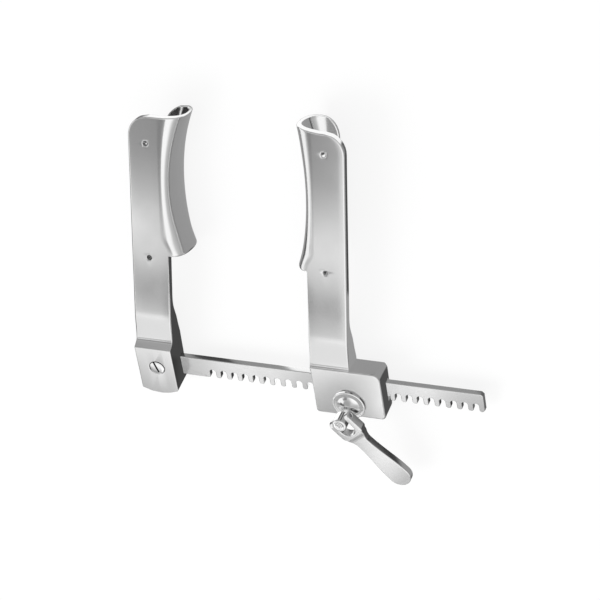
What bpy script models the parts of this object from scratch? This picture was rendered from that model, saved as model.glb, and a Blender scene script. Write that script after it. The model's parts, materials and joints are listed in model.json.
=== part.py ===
"""Rib spreader: two arms with hook blades on a notched rack, opened by a folding crank.

Everything is modelled in the rack's own directions: X along the rack, Y up the arms,
Z out of the crank side. The frame empty tilts this so the instrument lies on its back,
on the housing's lower edge and on the backs of the blades. Sizes are in metres.
"""

import math

import bmesh
import bpy
from mathutils import Matrix, Vector

# Rack
RACK_HEIGHT = 0.0114
RACK_THICKNESS = 0.0030
NOTCH_PITCH = 0.0056
NOTCH_WIDTH = 0.0030
NOTCH_DEPTH = 0.0050
NOTCH_COUNT = 25
FIRST_NOTCH_X = 0.0159
RACK_TAIL = 0.0043
TOOTH_TIP_RADIUS = 0.0011
RACK_END_CHAMFER = 0.0012
TANG_RISE = 0.0040
TANG_COLLAR = 0.0024

# Fixed block, at the left end of the rack
FIXED_WIDTH = 0.0187
FIXED_FRONT = 0.0092
FIXED_TOP = 0.0116
FIXED_BOTTOM = -0.0149
FIXED_BOTTOM_BULGE = 0.0024
BLOCK_BACK_TOP = -0.0056
BLOCK_BACK_BOTTOM = -0.0044
SCREW_ASIDE = 0.00045
SCREW_Y = -0.0009
SCREW_HEAD_RADIUS = 0.0041
SCREW_SHANK_RADIUS = 0.0021
SCREW_SLOT_WIDTH = 0.0010
SCREW_SLOT_DEPTH = 0.0010
SCREW_SLOT_ANGLE = math.radians(-72.0)

# Arms: a strip that leans back from the block, then the hook blade
ARM_LEAN = math.radians(19.4)
ARM_PLANE_RISE = 0.0113
ARM_THICKNESS = 0.0044
MOVING_WIDTH = 0.0197
BLADE_START = 0.0600
BLADE_END = 0.1303
BLADE_CORNER = 0.0102
EDGE_ROUNDING = 0.00045
KNEE_SINK = 0.00145
KNEE_LENGTH = 0.0160
KNEE_FILLET = 0.0007
BACK_BEND_START = 0.0220
BACK_BEND_END = 0.0430

# Hook blade section
HOOK_DEPTH = 0.0245
HOOK_REACH_MIDDLE = 0.0022
FIXED_REACH_ENDS = 0.0086
MOVING_REACH_ENDS = 0.0069
HOOK_FOLD_START = 0.0040
HOOK_WALL = 0.0018
HOOK_LIP_WIDTH = 0.0092
FIXED_LIP_CORNER = 0.0135
MOVING_LIP_CORNER = 0.0100
HOOK_LIP_FOOT_CORNER = 0.0050
FIXED_LIP_RISE = -0.0004
MOVING_TIP_RISE = 0.0006
MOVING_TIP_SLANT = 0.0016
TIP_SLANT_START = 0.0055
TIP_SLANT_SPAN = 0.0125
MOVING_LIP_RISE = 0.0016
MOVING_FOOT_RISE = 0.0008
HOOK_SQUARENESS = 2.6
HOOK_STEPS = 21
HOOK_FINE_STEPS = 120
TIE_HOLE_RADIUS = 0.0011
TIE_HOLE_RIM_RADIUS = 0.0018
TIE_HOLE_ASIDE = 0.0006
FIXED_HOLE_FROM_TIP = 0.0137
FIXED_HOLE_FROM_FOOT = -0.0017
MOVING_HOLE_FROM_TIP = 0.0098
MOVING_HOLE_FROM_FOOT = 0.0010

# Sliding housing
PARKED_NOTCH = 13
PARKED_SHORT_OF_NOTCH = 0.0003
CRANK_HEIGHT_OVER_TIPS = 0.0010
HOUSING_LEFT_OF_CRANK = 0.0176
HOUSING_WIDTH = 0.0353
HOUSING_FRONT = 0.0070
HOUSING_TOP = 0.0103
HOUSING_BOTTOM = -0.0183
HOUSING_TOP_SLOPE = 0.0016
HOUSING_CORNER = 0.0050
HOUSING_LOW_CORNER = 0.0024
HOUSING_SMALL_CORNER = 0.0015

# Clearances
SLIDE_GAP = 0.00025
FIT_GAP = 0.00015
SEAT_GAP = 0.0003
TURN_GAP = 0.0001

# Crank and its bearing
BUSH_FLANGE_RADIUS = 0.0083
BUSH_RIM_HEIGHT = 0.0014
BUSH_RIM_WIDTH = 0.0010
BUSH_DISH_HEIGHT = 0.0008
BUSH_BARREL_RADIUS = 0.0053
BUSH_BARREL_LENGTH = 0.0043
SPANNER_HOLE_RADIUS = 0.0005
SPANNER_HOLE_DEPTH = 0.0005
SPANNER_HOLE_CIRCLE = 0.0065
JOURNAL_RADIUS = 0.0029
POST_WAIST_RADIUS = 0.0029
POST_HEAD_RADIUS = 0.0036
POST_FLARE_RADIUS = 0.0056
POST_FLARE_HEIGHT = 0.0052
POST_LENGTH = 0.0160
POST_CENTRE_HOLE_RADIUS = 0.0009
DISC_RADIUS = 0.0047
DISC_THICKNESS = 0.0019
TENON_SIDE = 0.0027
DRIVE_PIN_RADIUS = 0.00075

# Folding handle
HANDLE_ANGLE = math.radians(-50.0)
HINGE_HEIGHT = 0.0117
FORK_SLOT_HALF_WIDTH = 0.0039
FORK_SLOT_END = 0.0086
FORK_HALF_WIDTH = 0.0067
FORK_HEEL = 0.0022
FORK_SHOULDER = 0.0092
FORK_THICKNESS = 0.0050
LEVER_WAIST_AT = 0.0155
LEVER_WAIST_HALF_WIDTH = 0.0037
LEVER_PAD_AT = 0.0402
LEVER_PAD_HALF_WIDTH = 0.0058
LEVER_LENGTH = 0.0460
LEVER_THICKNESS = 0.0042
LEVER_TIP_THICKNESS = 0.0037
HINGE_PIN_RADIUS = 0.0011

# Stations up the knee, as shares of its length
KNEE_RUNS = (0.0, 0.02, 0.05, 0.09, 0.15, 0.24, 0.36, 0.50, 0.68, 0.88, 1.10, 1.40, 1.75)

# Stations down the post's flared foot, as shares of its height
FLARE_SHARES = (0.90, 0.65, 0.45, 0.30, 0.18, 0.08, 0.0)

TURNED_STEPS = 40
SMALL_STEPS = 20
DRAWING_SCALE = 100.0

# Worked out from the sizes above
RACK_TOP = 0.0
TIP_LINE = RACK_TOP - RACK_HEIGHT
LAST_NOTCH_X = FIRST_NOTCH_X + (NOTCH_COUNT - 1) * NOTCH_PITCH
RACK_RIGHT = LAST_NOTCH_X + RACK_TAIL
SCREW_X = -FIXED_WIDTH / 2 + SCREW_ASIDE
CRANK_X = FIRST_NOTCH_X + PARKED_NOTCH * NOTCH_PITCH - PARKED_SHORT_OF_NOTCH
CRANK_Y = TIP_LINE + CRANK_HEIGHT_OVER_TIPS
DRIVE_PIN_CIRCLE = NOTCH_PITCH / 2
DRIVE_PARKED_ANGLE = -math.pi * PARKED_SHORT_OF_NOTCH / NOTCH_PITCH
HOUSING_LEFT = CRANK_X - HOUSING_LEFT_OF_CRANK
HOUSING_RIGHT = HOUSING_LEFT + HOUSING_WIDTH
DISC_TOP = HOUSING_FRONT - BUSH_BARREL_LENGTH - SEAT_GAP
DISC_BOTTOM = DISC_TOP - DISC_THICKNESS
BORE_RADIUS = BUSH_BARREL_RADIUS + FIT_GAP
PIN_ROOM_RADIUS = DRIVE_PIN_CIRCLE + DRIVE_PIN_RADIUS + SEAT_GAP


def clear_scene():
    for old in list(bpy.data.objects):
        bpy.data.objects.remove(old, do_unlink=True)


def make_collection(name):
    made = bpy.data.collections.new(name)
    bpy.context.scene.collection.children.link(made)
    return made


def make_material(name, colour, roughness, metallic=1.0):
    made = bpy.data.materials.new(name)
    made.use_nodes = True
    shader = made.node_tree.nodes["Principled BSDF"]
    shader.inputs["Base Color"].default_value = (*colour, 1.0)
    shader.inputs["Roughness"].default_value = roughness
    shader.inputs["Metallic"].default_value = metallic
    made.diffuse_color = (*colour, 1.0)
    return made


def make_empty(name, parent, location=(0, 0, 0), turn_z=0.0):
    made = bpy.data.objects.new(name, None)
    made.empty_display_size = 0.01
    PARTS.objects.link(made)
    made.parent = parent
    made.location = location
    made.rotation_euler = (0, 0, turn_z)
    return made


def add_object(name, mesh, parent, material=None, cutter=False):
    made = bpy.data.objects.new(name, mesh)
    made.parent = parent
    if cutter:
        CUTTERS.objects.link(made)
        made.hide_render = True
        made.display_type = "WIRE"
    else:
        PARTS.objects.link(made)
        mesh.materials.append(material)
    return made


def mesh_from(bm, name):
    bmesh.ops.recalc_face_normals(bm, faces=bm.faces)
    mesh = bpy.data.meshes.new(name)
    bm.to_mesh(mesh)
    bm.free()
    return mesh


def box_mesh(name, low, high):
    bm = bmesh.new()
    bmesh.ops.create_cube(bm, size=1.0)
    size = [high[k] - low[k] for k in range(3)]
    middle = [(high[k] + low[k]) / 2 for k in range(3)]
    bmesh.ops.scale(bm, vec=size, verts=bm.verts)
    bmesh.ops.translate(bm, vec=middle, verts=bm.verts)
    return mesh_from(bm, name)


def cylinder_mesh(name, centre, radius, low, high, steps=SMALL_STEPS, top_radius=None):
    bm = bmesh.new()
    bmesh.ops.create_cone(
        bm, cap_ends=True, segments=steps, radius1=radius,
        radius2=radius if top_radius is None else top_radius, depth=high - low,
    )
    bmesh.ops.translate(bm, vec=(centre[0], centre[1], (low + high) / 2), verts=bm.verts)
    return mesh_from(bm, name)


def outline_mesh(name, points, low, high, holes=()):
    """A flat outline in X and Y, extruded from low to high along Z.

    Blender fills millimetre outlines coarsely, so it is drawn large and brought to size.
    """
    curve = bpy.data.curves.new(name, "CURVE")
    curve.dimensions = "2D"
    curve.fill_mode = "BOTH"
    curve.extrude = DRAWING_SCALE * (high - low) / 2
    for loop in (points, *holes):
        spline = curve.splines.new("POLY")
        spline.points.add(len(loop) - 1)
        for place, (x, y) in zip(spline.points, loop):
            place.co = (x * DRAWING_SCALE, y * DRAWING_SCALE, 0, 1)
        spline.use_cyclic_u = True
    holder = bpy.data.objects.new(name, curve)
    bpy.context.scene.collection.objects.link(holder)
    graph = bpy.context.evaluated_depsgraph_get()
    mesh = bpy.data.meshes.new_from_object(holder.evaluated_get(graph))
    bpy.data.objects.remove(holder)
    bm = bmesh.new()
    bm.from_mesh(mesh)
    bmesh.ops.remove_doubles(bm, verts=bm.verts, dist=1e-4)
    bmesh.ops.scale(bm, vec=[1 / DRAWING_SCALE] * 3, verts=bm.verts)
    bmesh.ops.dissolve_limit(bm, angle_limit=0.0005, verts=bm.verts, edges=bm.edges)
    bmesh.ops.translate(bm, vec=(0, 0, (low + high) / 2), verts=bm.verts)
    bmesh.ops.recalc_face_normals(bm, faces=bm.faces)
    bm.to_mesh(mesh)
    bm.free()
    return mesh


def add_screw_turn(made, steps=TURNED_STEPS):
    turn = made.modifiers.new("Turn", "SCREW")
    turn.axis = "Z"
    turn.angle = math.tau
    turn.steps = steps
    turn.render_steps = steps
    turn.use_merge_vertices = True
    turn.merge_threshold = 0.00001
    turn.use_smooth_shade = True


def profile_mesh(name, profile, closed=False):
    """Radius and height pairs, running down the outer side."""
    bm = bmesh.new()
    places = [bm.verts.new((radius, 0, height)) for radius, height in profile]
    for first, second in zip(places, places[1:]):
        bm.edges.new((first, second))
    if closed:
        bm.edges.new((places[-1], places[0]))
    mesh = bpy.data.meshes.new(name)
    bm.to_mesh(mesh)
    bm.free()
    return mesh


def add_cut(made, cutter, name="Cut"):
    step = made.modifiers.new(name, "BOOLEAN")
    step.operation = "DIFFERENCE"
    step.solver = "EXACT"
    step.object = cutter


def add_join(made, other, operation="UNION"):
    step = made.modifiers.new("Join", "BOOLEAN")
    step.operation = operation
    step.solver = "EXACT"
    step.object = other


def add_bevel(made, width, segments=1, angle=30.0):
    step = made.modifiers.new("Edges", "BEVEL")
    step.width = width
    step.segments = segments
    step.limit_method = "ANGLE"
    step.angle_limit = math.radians(angle)
    step.use_clamp_overlap = True
    step.harden_normals = False


def smooth(made, angle=35.0):
    made.data.shade_smooth()
    made.data.set_sharp_from_angle(angle=math.radians(angle))


def arc(centre, radius, start, end, count):
    """Points on an arc, angles in degrees."""
    points = []
    for k in range(count):
        a = math.radians(start + (end - start) * k / (count - 1))
        points.append((centre[0] + radius * math.cos(a), centre[1] + radius * math.sin(a)))
    return points


def ease(value):
    value = min(max(value, 0.0), 1.0)
    return value * value * (3 - 2 * value)


def arm_point(along, depth):
    """Height and front distance of a place on the leaning arm plane."""
    y = along * math.cos(ARM_LEAN) - depth * math.sin(ARM_LEAN)
    z = ARM_PLANE_RISE - along * math.sin(ARM_LEAN) - depth * math.cos(ARM_LEAN)
    return y, z


def back_of_block(y):
    share = (y - FIXED_BOTTOM) / (FIXED_TOP - FIXED_BOTTOM)
    return BLOCK_BACK_BOTTOM + (BLOCK_BACK_TOP - BLOCK_BACK_BOTTOM) * share


def knee_front(front, top, run):
    """Front of the strip a given way above the block: a fillet, a hollow, then the lean."""
    lean = ARM_PLANE_RISE - (top + run) * math.tan(ARM_LEAN)
    at_edge = ARM_PLANE_RISE - top * math.tan(ARM_LEAN)
    sink = KNEE_SINK * (1 - ease(run / KNEE_LENGTH))
    return lean - sink + (front - at_edge + KNEE_SINK) * math.exp(-run / KNEE_FILLET)


def strip_slices(front, top, first, runs=KNEE_RUNS):
    """Front and back places of the strip, from the block's top edge to the blade."""
    slices = [first]
    flat = back_of_block(FIXED_TOP)
    for share in runs:
        y = top + share * KNEE_LENGTH
        along = y / math.cos(ARM_LEAN)
        leave = ease((along - BACK_BEND_START) / (BACK_BEND_END - BACK_BEND_START))
        back = arm_point(along, ARM_THICKNESS)
        behind = (y + (back[0] - y) * leave, flat + (back[1] - flat) * leave)
        slices.append(((y, knee_front(front, top, share * KNEE_LENGTH)), behind))
    last = (BACK_BEND_END + BLADE_START) / 2
    slices.append((arm_point(last, 0), arm_point(last, ARM_THICKNESS)))
    return slices


def rounded_end(distance, corner):
    """How far an edge draws in at a given distance from the end of a rounded corner."""
    if distance >= corner:
        return 0.0
    return corner - math.sqrt(max(corner ** 2 - (corner - distance) ** 2, 0.0))


def hook_reach(along, ends):
    middle = (BLADE_START + BLADE_END) / 2
    half = (BLADE_END - BLADE_START) / 2
    reach = HOOK_REACH_MIDDLE + (ends - HOOK_REACH_MIDDLE) * ((along - middle) / half) ** 2
    foot = 0.0020
    return reach - 0.7 * rounded_end(along - BLADE_START, foot)


def spread_along(path, count):
    """The same path as a given number of evenly spaced points."""
    lengths = [0.0]
    for first, second in zip(path, path[1:]):
        lengths.append(lengths[-1] + math.dist(first, second))
    points = []
    piece = 0
    for k in range(count):
        wanted = lengths[-1] * k / (count - 1)
        while piece < len(path) - 2 and lengths[piece + 1] < wanted:
            piece += 1
        share = (wanted - lengths[piece]) / (lengths[piece + 1] - lengths[piece])
        share = min(max(share, 0.0), 1.0)
        first, second = path[piece], path[piece + 1]
        points.append(tuple(first[n] + (second[n] - first[n]) * share for n in range(2)))
    return points


def hook_path(fold, reach, near, far, lip_edge):
    """From the front of the fold round to the lip's edge, evenly spaced."""
    power = 2 / HOOK_SQUARENESS
    middle = (near + far) / 2
    half = (far - near) / 2
    path = []
    for k in range(HOOK_FINE_STEPS + 1):
        a = math.pi * k / HOOK_FINE_STEPS
        side = max(math.sin(a), 0.0) ** power
        deep = math.copysign(abs(math.cos(a)) ** power, math.cos(a))
        x = fold + (reach - fold) * side
        if k > HOOK_FINE_STEPS / 2 and x < lip_edge:
            break
        path.append((x, middle - half * deep))
    if lip_edge < fold:
        path.append((lip_edge, far))
    return spread_along(path, HOOK_STEPS)


def hook_section(along, width, ends, lip_corner):
    """Outline of the blade across the arm: reach past the inner edge, and depth."""
    fold = -HOOK_FOLD_START * ease((along - BLADE_START) / 0.010)
    outer_edge = -width + rounded_end(BLADE_END - along, BLADE_CORNER)
    lip_edge = -HOOK_LIP_WIDTH
    lip_edge += rounded_end(BLADE_END - along, lip_corner)
    lip_edge += rounded_end(along - BLADE_START, HOOK_LIP_FOOT_CORNER)
    reach = hook_reach(along, ends)
    front = [(outer_edge + (fold - outer_edge) * k / 4, 0.0) for k in range(4)]
    outside = hook_path(fold, reach, 0.0, HOOK_DEPTH, lip_edge)
    inside = hook_path(fold, reach - HOOK_WALL, ARM_THICKNESS, HOOK_DEPTH - HOOK_WALL, lip_edge)
    back = [(x, ARM_THICKNESS) for x, _ in reversed(front)]
    return front + outside + list(reversed(inside)) + back


def tip_shift(x, depth, tip_rise, slant, lip_rise):
    """How far the blade's end runs on: it slants from the fold down to the outer edge."""
    outward = min(max((TIP_SLANT_START - x) / TIP_SLANT_SPAN, 0.0), 1.0)
    front = tip_rise + slant * (1 - outward)
    return front + (lip_rise - front) * ease(depth / HOOK_DEPTH)


def close_ring(bm, ring):
    """Caps a C-shaped ring between its front and back points."""
    count = len(ring)
    for k in range(count // 2 - 1):
        bm.faces.new((ring[k], ring[k + 1], ring[count - 2 - k], ring[count - 1 - k]))


def join_rings(bm, low, high):
    count = len(low)
    for k in range(count):
        bm.faces.new((low[k], low[(k + 1) % count], high[(k + 1) % count], high[k]))


def arm_mesh(name, width, inner_x, side, slices, blade, bulge=0.0):
    """Loft of the block, the strip and the hook blade.

    side is +1 where the hook reaches to +X, -1 where it reaches to -X. blade holds the
    reach at the blade's ends, the lip's corner, the rise, slant and lip rise of its tip, and
    how far up its foot starts.
    """
    ends, lip_corner, tip_rise, slant, lip_rise, foot_rise = blade
    bm = bmesh.new()
    foot = hook_section(BLADE_START, width, ends, lip_corner)
    places = [x for x, _ in foot[:5] + foot[-5:]]
    strip_rings = []
    for index, (front, back) in enumerate(slices):
        ring = []
        for k, x in enumerate(places):
            y, z = front if k < 5 else back
            drop = bulge * (1 - (2 * x / width + 1) ** 2) if index == 0 else 0.0
            ring.append(bm.verts.new((inner_x + side * x, y - drop, z)))
        strip_rings.append(ring)
    length = BLADE_END - BLADE_START
    stations = [0.0, 0.0006, 0.0015, 0.0030, 0.0060]
    stations += [length * share for share in (0.14, 0.22, 0.31, 0.41, 0.52, 0.62, 0.72, 0.79)]
    tip_shares = (1.0, 0.72, 0.47, 0.27, 0.11, 0.03, 0.0)
    stations += [length - max(BLADE_CORNER, lip_corner) * share for share in tip_shares]
    blade_rings = []
    for station in stations:
        ring = []
        lift = ease(4 * station / length - 3)
        for x, depth in hook_section(BLADE_START + station, width, ends, lip_corner):
            along = BLADE_START + station + lift * tip_shift(x, depth, tip_rise, slant, lip_rise)
            along += foot_rise * (1 - ease(4 * station / length))
            y, z = arm_point(along, depth)
            ring.append(bm.verts.new((inner_x + side * x, y, z)))
        blade_rings.append(ring)
    strip_rings.append(blade_rings[0][:5] + blade_rings[0][-5:])
    close_ring(bm, strip_rings[0])
    for low, high in zip(strip_rings, strip_rings[1:]):
        join_rings(bm, low, high)
    close_ring(bm, blade_rings[0][4:len(foot) - 4])
    for low, high in zip(blade_rings, blade_rings[1:]):
        join_rings(bm, low, high)
    close_ring(bm, blade_rings[-1])
    return mesh_from(bm, name)


FIXED_BLADE = (FIXED_REACH_ENDS, FIXED_LIP_CORNER, 0.0, 0.0, FIXED_LIP_RISE, 0.0)
MOVING_BLADE = (
    MOVING_REACH_ENDS, MOVING_LIP_CORNER, MOVING_TIP_RISE, MOVING_TIP_SLANT, MOVING_LIP_RISE,
    MOVING_FOOT_RISE,
)


def turned_cutter(name, parent, profile, steps=SMALL_STEPS):
    made = add_object(name, profile_mesh(name, profile), parent, cutter=True)
    add_screw_turn(made, steps)
    return made


def tie_hole_cutter(name, parent, x, along):
    """A small through hole with a countersunk front rim, square to the arm."""
    y, z = arm_point(along, 0)
    reach = 0.0003
    profile = [
        (0.0, reach), (TIE_HOLE_RIM_RADIUS + reach, reach),
        (TIE_HOLE_RADIUS, TIE_HOLE_RADIUS - TIE_HOLE_RIM_RADIUS),
        (TIE_HOLE_RADIUS, -ARM_THICKNESS - 0.001), (0.0, -ARM_THICKNESS - 0.001),
    ]
    made = turned_cutter(name, parent, profile)
    made.location = (x, y, z)
    made.rotation_euler = (-ARM_LEAN, 0, 0)
    return made


def make_fixed_arm(parent, material):
    first = ((FIXED_BOTTOM, FIXED_FRONT), (FIXED_BOTTOM, BLOCK_BACK_BOTTOM))
    slices = strip_slices(FIXED_FRONT, FIXED_TOP, first)
    mesh = arm_mesh("fixed_arm", FIXED_WIDTH, 0.0, 1, slices, FIXED_BLADE, FIXED_BOTTOM_BULGE)
    made = add_object("fixed_arm", mesh, parent, material)
    add_bevel(made, EDGE_ROUNDING)
    # room for the rack and for its taller tang
    room = box_mesh(
        "rack_room", (-TANG_COLLAR - FIT_GAP, TIP_LINE - FIT_GAP, -RACK_THICKNESS - FIT_GAP),
        (0.002, RACK_TOP + FIT_GAP, FIT_GAP),
    )
    add_cut(made, add_object("rack_room", room, parent, cutter=True))
    room = box_mesh(
        "tang_room", (-FIXED_WIDTH - 0.002, TIP_LINE - FIT_GAP, -RACK_THICKNESS - FIT_GAP),
        (-TANG_COLLAR + FIT_GAP, RACK_TOP + TANG_RISE + FIT_GAP, FIT_GAP),
    )
    add_cut(made, add_object("tang_room", room, parent, cutter=True))
    head = SCREW_HEAD_RADIUS + 2 * FIT_GAP
    shank = SCREW_SHANK_RADIUS + FIT_GAP
    over = 0.0005
    through = back_of_block(SCREW_Y) - FIXED_FRONT - 0.0020
    profile = [
        (0.0, over), (head + over, over), (shank, shank - head), (shank, through), (0.0, through),
    ]
    sink = turned_cutter("screw_sink", parent, profile, 32)
    sink.location = (SCREW_X, SCREW_Y, FIXED_FRONT)
    add_cut(made, sink)
    middle = -FIXED_WIDTH / 2 - TIE_HOLE_ASIDE
    for number, along in enumerate((BLADE_END - FIXED_HOLE_FROM_TIP, BLADE_START + FIXED_HOLE_FROM_FOOT)):
        add_cut(made, tie_hole_cutter(f"fixed_tie_{number}", parent, middle, along))
    smooth(made)
    return made


def housing_outline():
    """Front outline of the housing, with its large upper right corner."""
    left, right = HOUSING_LEFT - CRANK_X, HOUSING_RIGHT - CRANK_X
    low, high = HOUSING_BOTTOM - CRANK_Y, HOUSING_TOP - CRANK_Y
    big, lower, small = HOUSING_CORNER, HOUSING_LOW_CORNER, HOUSING_SMALL_CORNER
    points = [(left, high)]
    points += arc((left + small, low + small), small, 180, 270, 4)
    points += arc((right - lower, low + lower), lower, 270, 360, 5)
    points += arc((right - big, high - big), big, 0, 90, 7)
    return points


def make_moving_arm(parent, material):
    """Arm, hook blade and sliding housing, forged in one piece."""
    left, right = HOUSING_LEFT - CRANK_X, HOUSING_RIGHT - CRANK_X
    low, high = HOUSING_BOTTOM - CRANK_Y, HOUSING_TOP - CRANK_Y
    mesh = outline_mesh("moving_arm", housing_outline(), -0.012, HOUSING_FRONT)
    made = add_object("moving_arm", mesh, parent, material)
    # the back and the top slope a little
    back_low = back_of_block(HOUSING_BOTTOM)
    back_high = back_of_block(HOUSING_TOP)
    side_view = [
        (low - 0.001, HOUSING_FRONT + 0.001), (high, HOUSING_FRONT + 0.001), (high, HOUSING_FRONT),
        (high - HOUSING_TOP_SLOPE, back_high), (low, back_low), (low - 0.001, back_low),
    ]
    slab = outline_mesh("housing_side", side_view, left - 0.001, right + 0.001)
    slab.transform(Matrix(((0, 0, 1, 0), (1, 0, 0, 0), (0, 1, 0, 0), (0, 0, 0, 1))))
    add_join(made, add_object("housing_side", slab, parent, cutter=True), "INTERSECT")
    add_bevel(made, EDGE_ROUNDING)
    # the strip starts inside the housing, just under its front edge
    inner_x = HOUSING_LEFT + 0.00002
    under = 0.0060
    first = ((HOUSING_TOP - under, HOUSING_FRONT - 0.0025), (HOUSING_TOP - under, BLOCK_BACK_TOP + 0.0008))
    slices = strip_slices(HOUSING_FRONT - 0.0001, HOUSING_TOP, first)
    arm = arm_mesh("moving_strip", MOVING_WIDTH, inner_x, -1, slices, MOVING_BLADE)
    arm.transform(Matrix.Translation((-CRANK_X, -CRANK_Y, 0)))
    strip = add_object("moving_strip", arm, parent, cutter=True)
    add_bevel(strip, EDGE_ROUNDING)
    add_join(made, strip)
    # way for the rack
    room = box_mesh(
        "rack_way", (left - 0.002, TIP_LINE - CRANK_Y - SLIDE_GAP, -RACK_THICKNESS - SLIDE_GAP),
        (right + 0.002, RACK_TOP - CRANK_Y + SLIDE_GAP, SLIDE_GAP),
    )
    add_cut(made, add_object("rack_way", room, parent, cutter=True))
    # bore for the bush and the disc, and room behind for the two pins
    bore = cylinder_mesh("bush_bore", (0, 0), BORE_RADIUS, 0.0, HOUSING_FRONT + 0.001, steps=32)
    add_cut(made, add_object("bush_bore", bore, parent, cutter=True))
    pins = cylinder_mesh(
        "pin_room", (0, 0), PIN_ROOM_RADIUS, -RACK_THICKNESS - 2 * SEAT_GAP, 0.0005, steps=24,
    )
    add_cut(made, add_object("pin_room", pins, parent, cutter=True))
    middle = inner_x + MOVING_WIDTH / 2 - TIE_HOLE_ASIDE - CRANK_X
    for number, along in enumerate((BLADE_END - MOVING_HOLE_FROM_TIP, BLADE_START + MOVING_HOLE_FROM_FOOT)):
        cutter = tie_hole_cutter(f"moving_tie_{number}", parent, middle, along)
        cutter.location.y -= CRANK_Y
        add_cut(made, cutter)
    smooth(made)
    return made


def rack_outline():
    points = [(-FIXED_WIDTH + FIT_GAP, RACK_TOP + TANG_RISE), (-TANG_COLLAR, RACK_TOP + TANG_RISE)]
    points += [(-TANG_COLLAR, RACK_TOP)]
    points += [(RACK_RIGHT - RACK_END_CHAMFER, RACK_TOP), (RACK_RIGHT, RACK_TOP - RACK_END_CHAMFER)]
    points += [(RACK_RIGHT, TIP_LINE + RACK_END_CHAMFER), (RACK_RIGHT - RACK_END_CHAMFER, TIP_LINE)]
    half = NOTCH_WIDTH / 2
    tip = TOOTH_TIP_RADIUS
    for number in reversed(range(NOTCH_COUNT)):
        x = FIRST_NOTCH_X + number * NOTCH_PITCH
        points += arc((x + half + tip, TIP_LINE + tip), tip, 270, 180, 3)
        points += arc((x, TIP_LINE + NOTCH_DEPTH - half), half, 0, 180, 9)
        points += arc((x - half - tip, TIP_LINE + tip), tip, 0, -90, 3)
    points += [(-FIXED_WIDTH + FIT_GAP, TIP_LINE)]
    return points


def make_rack(parent, material):
    hole = arc((SCREW_X, SCREW_Y), SCREW_SHANK_RADIUS + FIT_GAP, 0, 342, SMALL_STEPS)
    mesh = outline_mesh("rack_bar", rack_outline(), -RACK_THICKNESS, 0.0, [hole])
    made = add_object("rack_bar", mesh, parent, material)
    smooth(made)
    return made


def make_rack_screw(parent, material):
    head = SCREW_HEAD_RADIUS
    shank = SCREW_SHANK_RADIUS
    end = back_of_block(SCREW_Y) + 0.0006 - FIXED_FRONT
    profile = [
        (0.0, 0.0002), (head * 0.6, 0.00015), (head - 0.0002, 0.0), (head, -0.0002),
        (shank, -0.0002 - (head - shank)), (shank, end + 0.0005), (shank - 0.0005, end), (0.0, end),
    ]
    made = add_object("rack_screw", profile_mesh("rack_screw", profile), parent, material)
    made.location = (SCREW_X, SCREW_Y, FIXED_FRONT)
    made.rotation_euler = (0, 0, SCREW_SLOT_ANGLE)
    add_screw_turn(made, 32)
    slot = box_mesh(
        "screw_slot", (-head - 0.001, -SCREW_SLOT_WIDTH / 2, -SCREW_SLOT_DEPTH),
        (head + 0.001, SCREW_SLOT_WIDTH / 2, 0.001),
    )
    cutter = add_object("screw_slot", slot, parent, cutter=True)
    cutter.location = made.location
    cutter.rotation_euler = made.rotation_euler
    add_cut(made, cutter)
    smooth(made)
    return made


def make_bush(parent, material):
    """Threaded bearing bush: a rimmed flange on the housing, a barrel in its bore."""
    flange = BUSH_FLANGE_RADIUS
    inner = flange - BUSH_RIM_WIDTH
    bore = JOURNAL_RADIUS + TURN_GAP
    seat = FIT_GAP
    profile = [
        (bore, BUSH_DISH_HEIGHT), (inner - 0.0001, BUSH_DISH_HEIGHT),
        (inner + 0.0001, BUSH_RIM_HEIGHT),
        (flange - 0.0003, BUSH_RIM_HEIGHT), (flange, BUSH_RIM_HEIGHT - 0.0003), (flange, seat),
        (BUSH_BARREL_RADIUS, seat), (BUSH_BARREL_RADIUS, -BUSH_BARREL_LENGTH),
        (bore, -BUSH_BARREL_LENGTH),
    ]
    made = add_object("bearing_bush", profile_mesh("bearing_bush", profile, True), parent, material)
    made.location = (0, 0, HOUSING_FRONT)
    add_screw_turn(made)
    for number, turn in enumerate((-20, 160)):
        a = math.radians(turn)
        place = (SPANNER_HOLE_CIRCLE * math.cos(a), SPANNER_HOLE_CIRCLE * math.sin(a))
        hole = cylinder_mesh(
            "spanner_hole", place, SPANNER_HOLE_RADIUS, BUSH_DISH_HEIGHT - SPANNER_HOLE_DEPTH,
            BUSH_RIM_HEIGHT + 0.001, steps=12,
        )
        cutter = add_object(f"spanner_hole_{number}", hole, parent, cutter=True)
        cutter.location = made.location
        add_cut(made, cutter)
    smooth(made)
    return made


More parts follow.
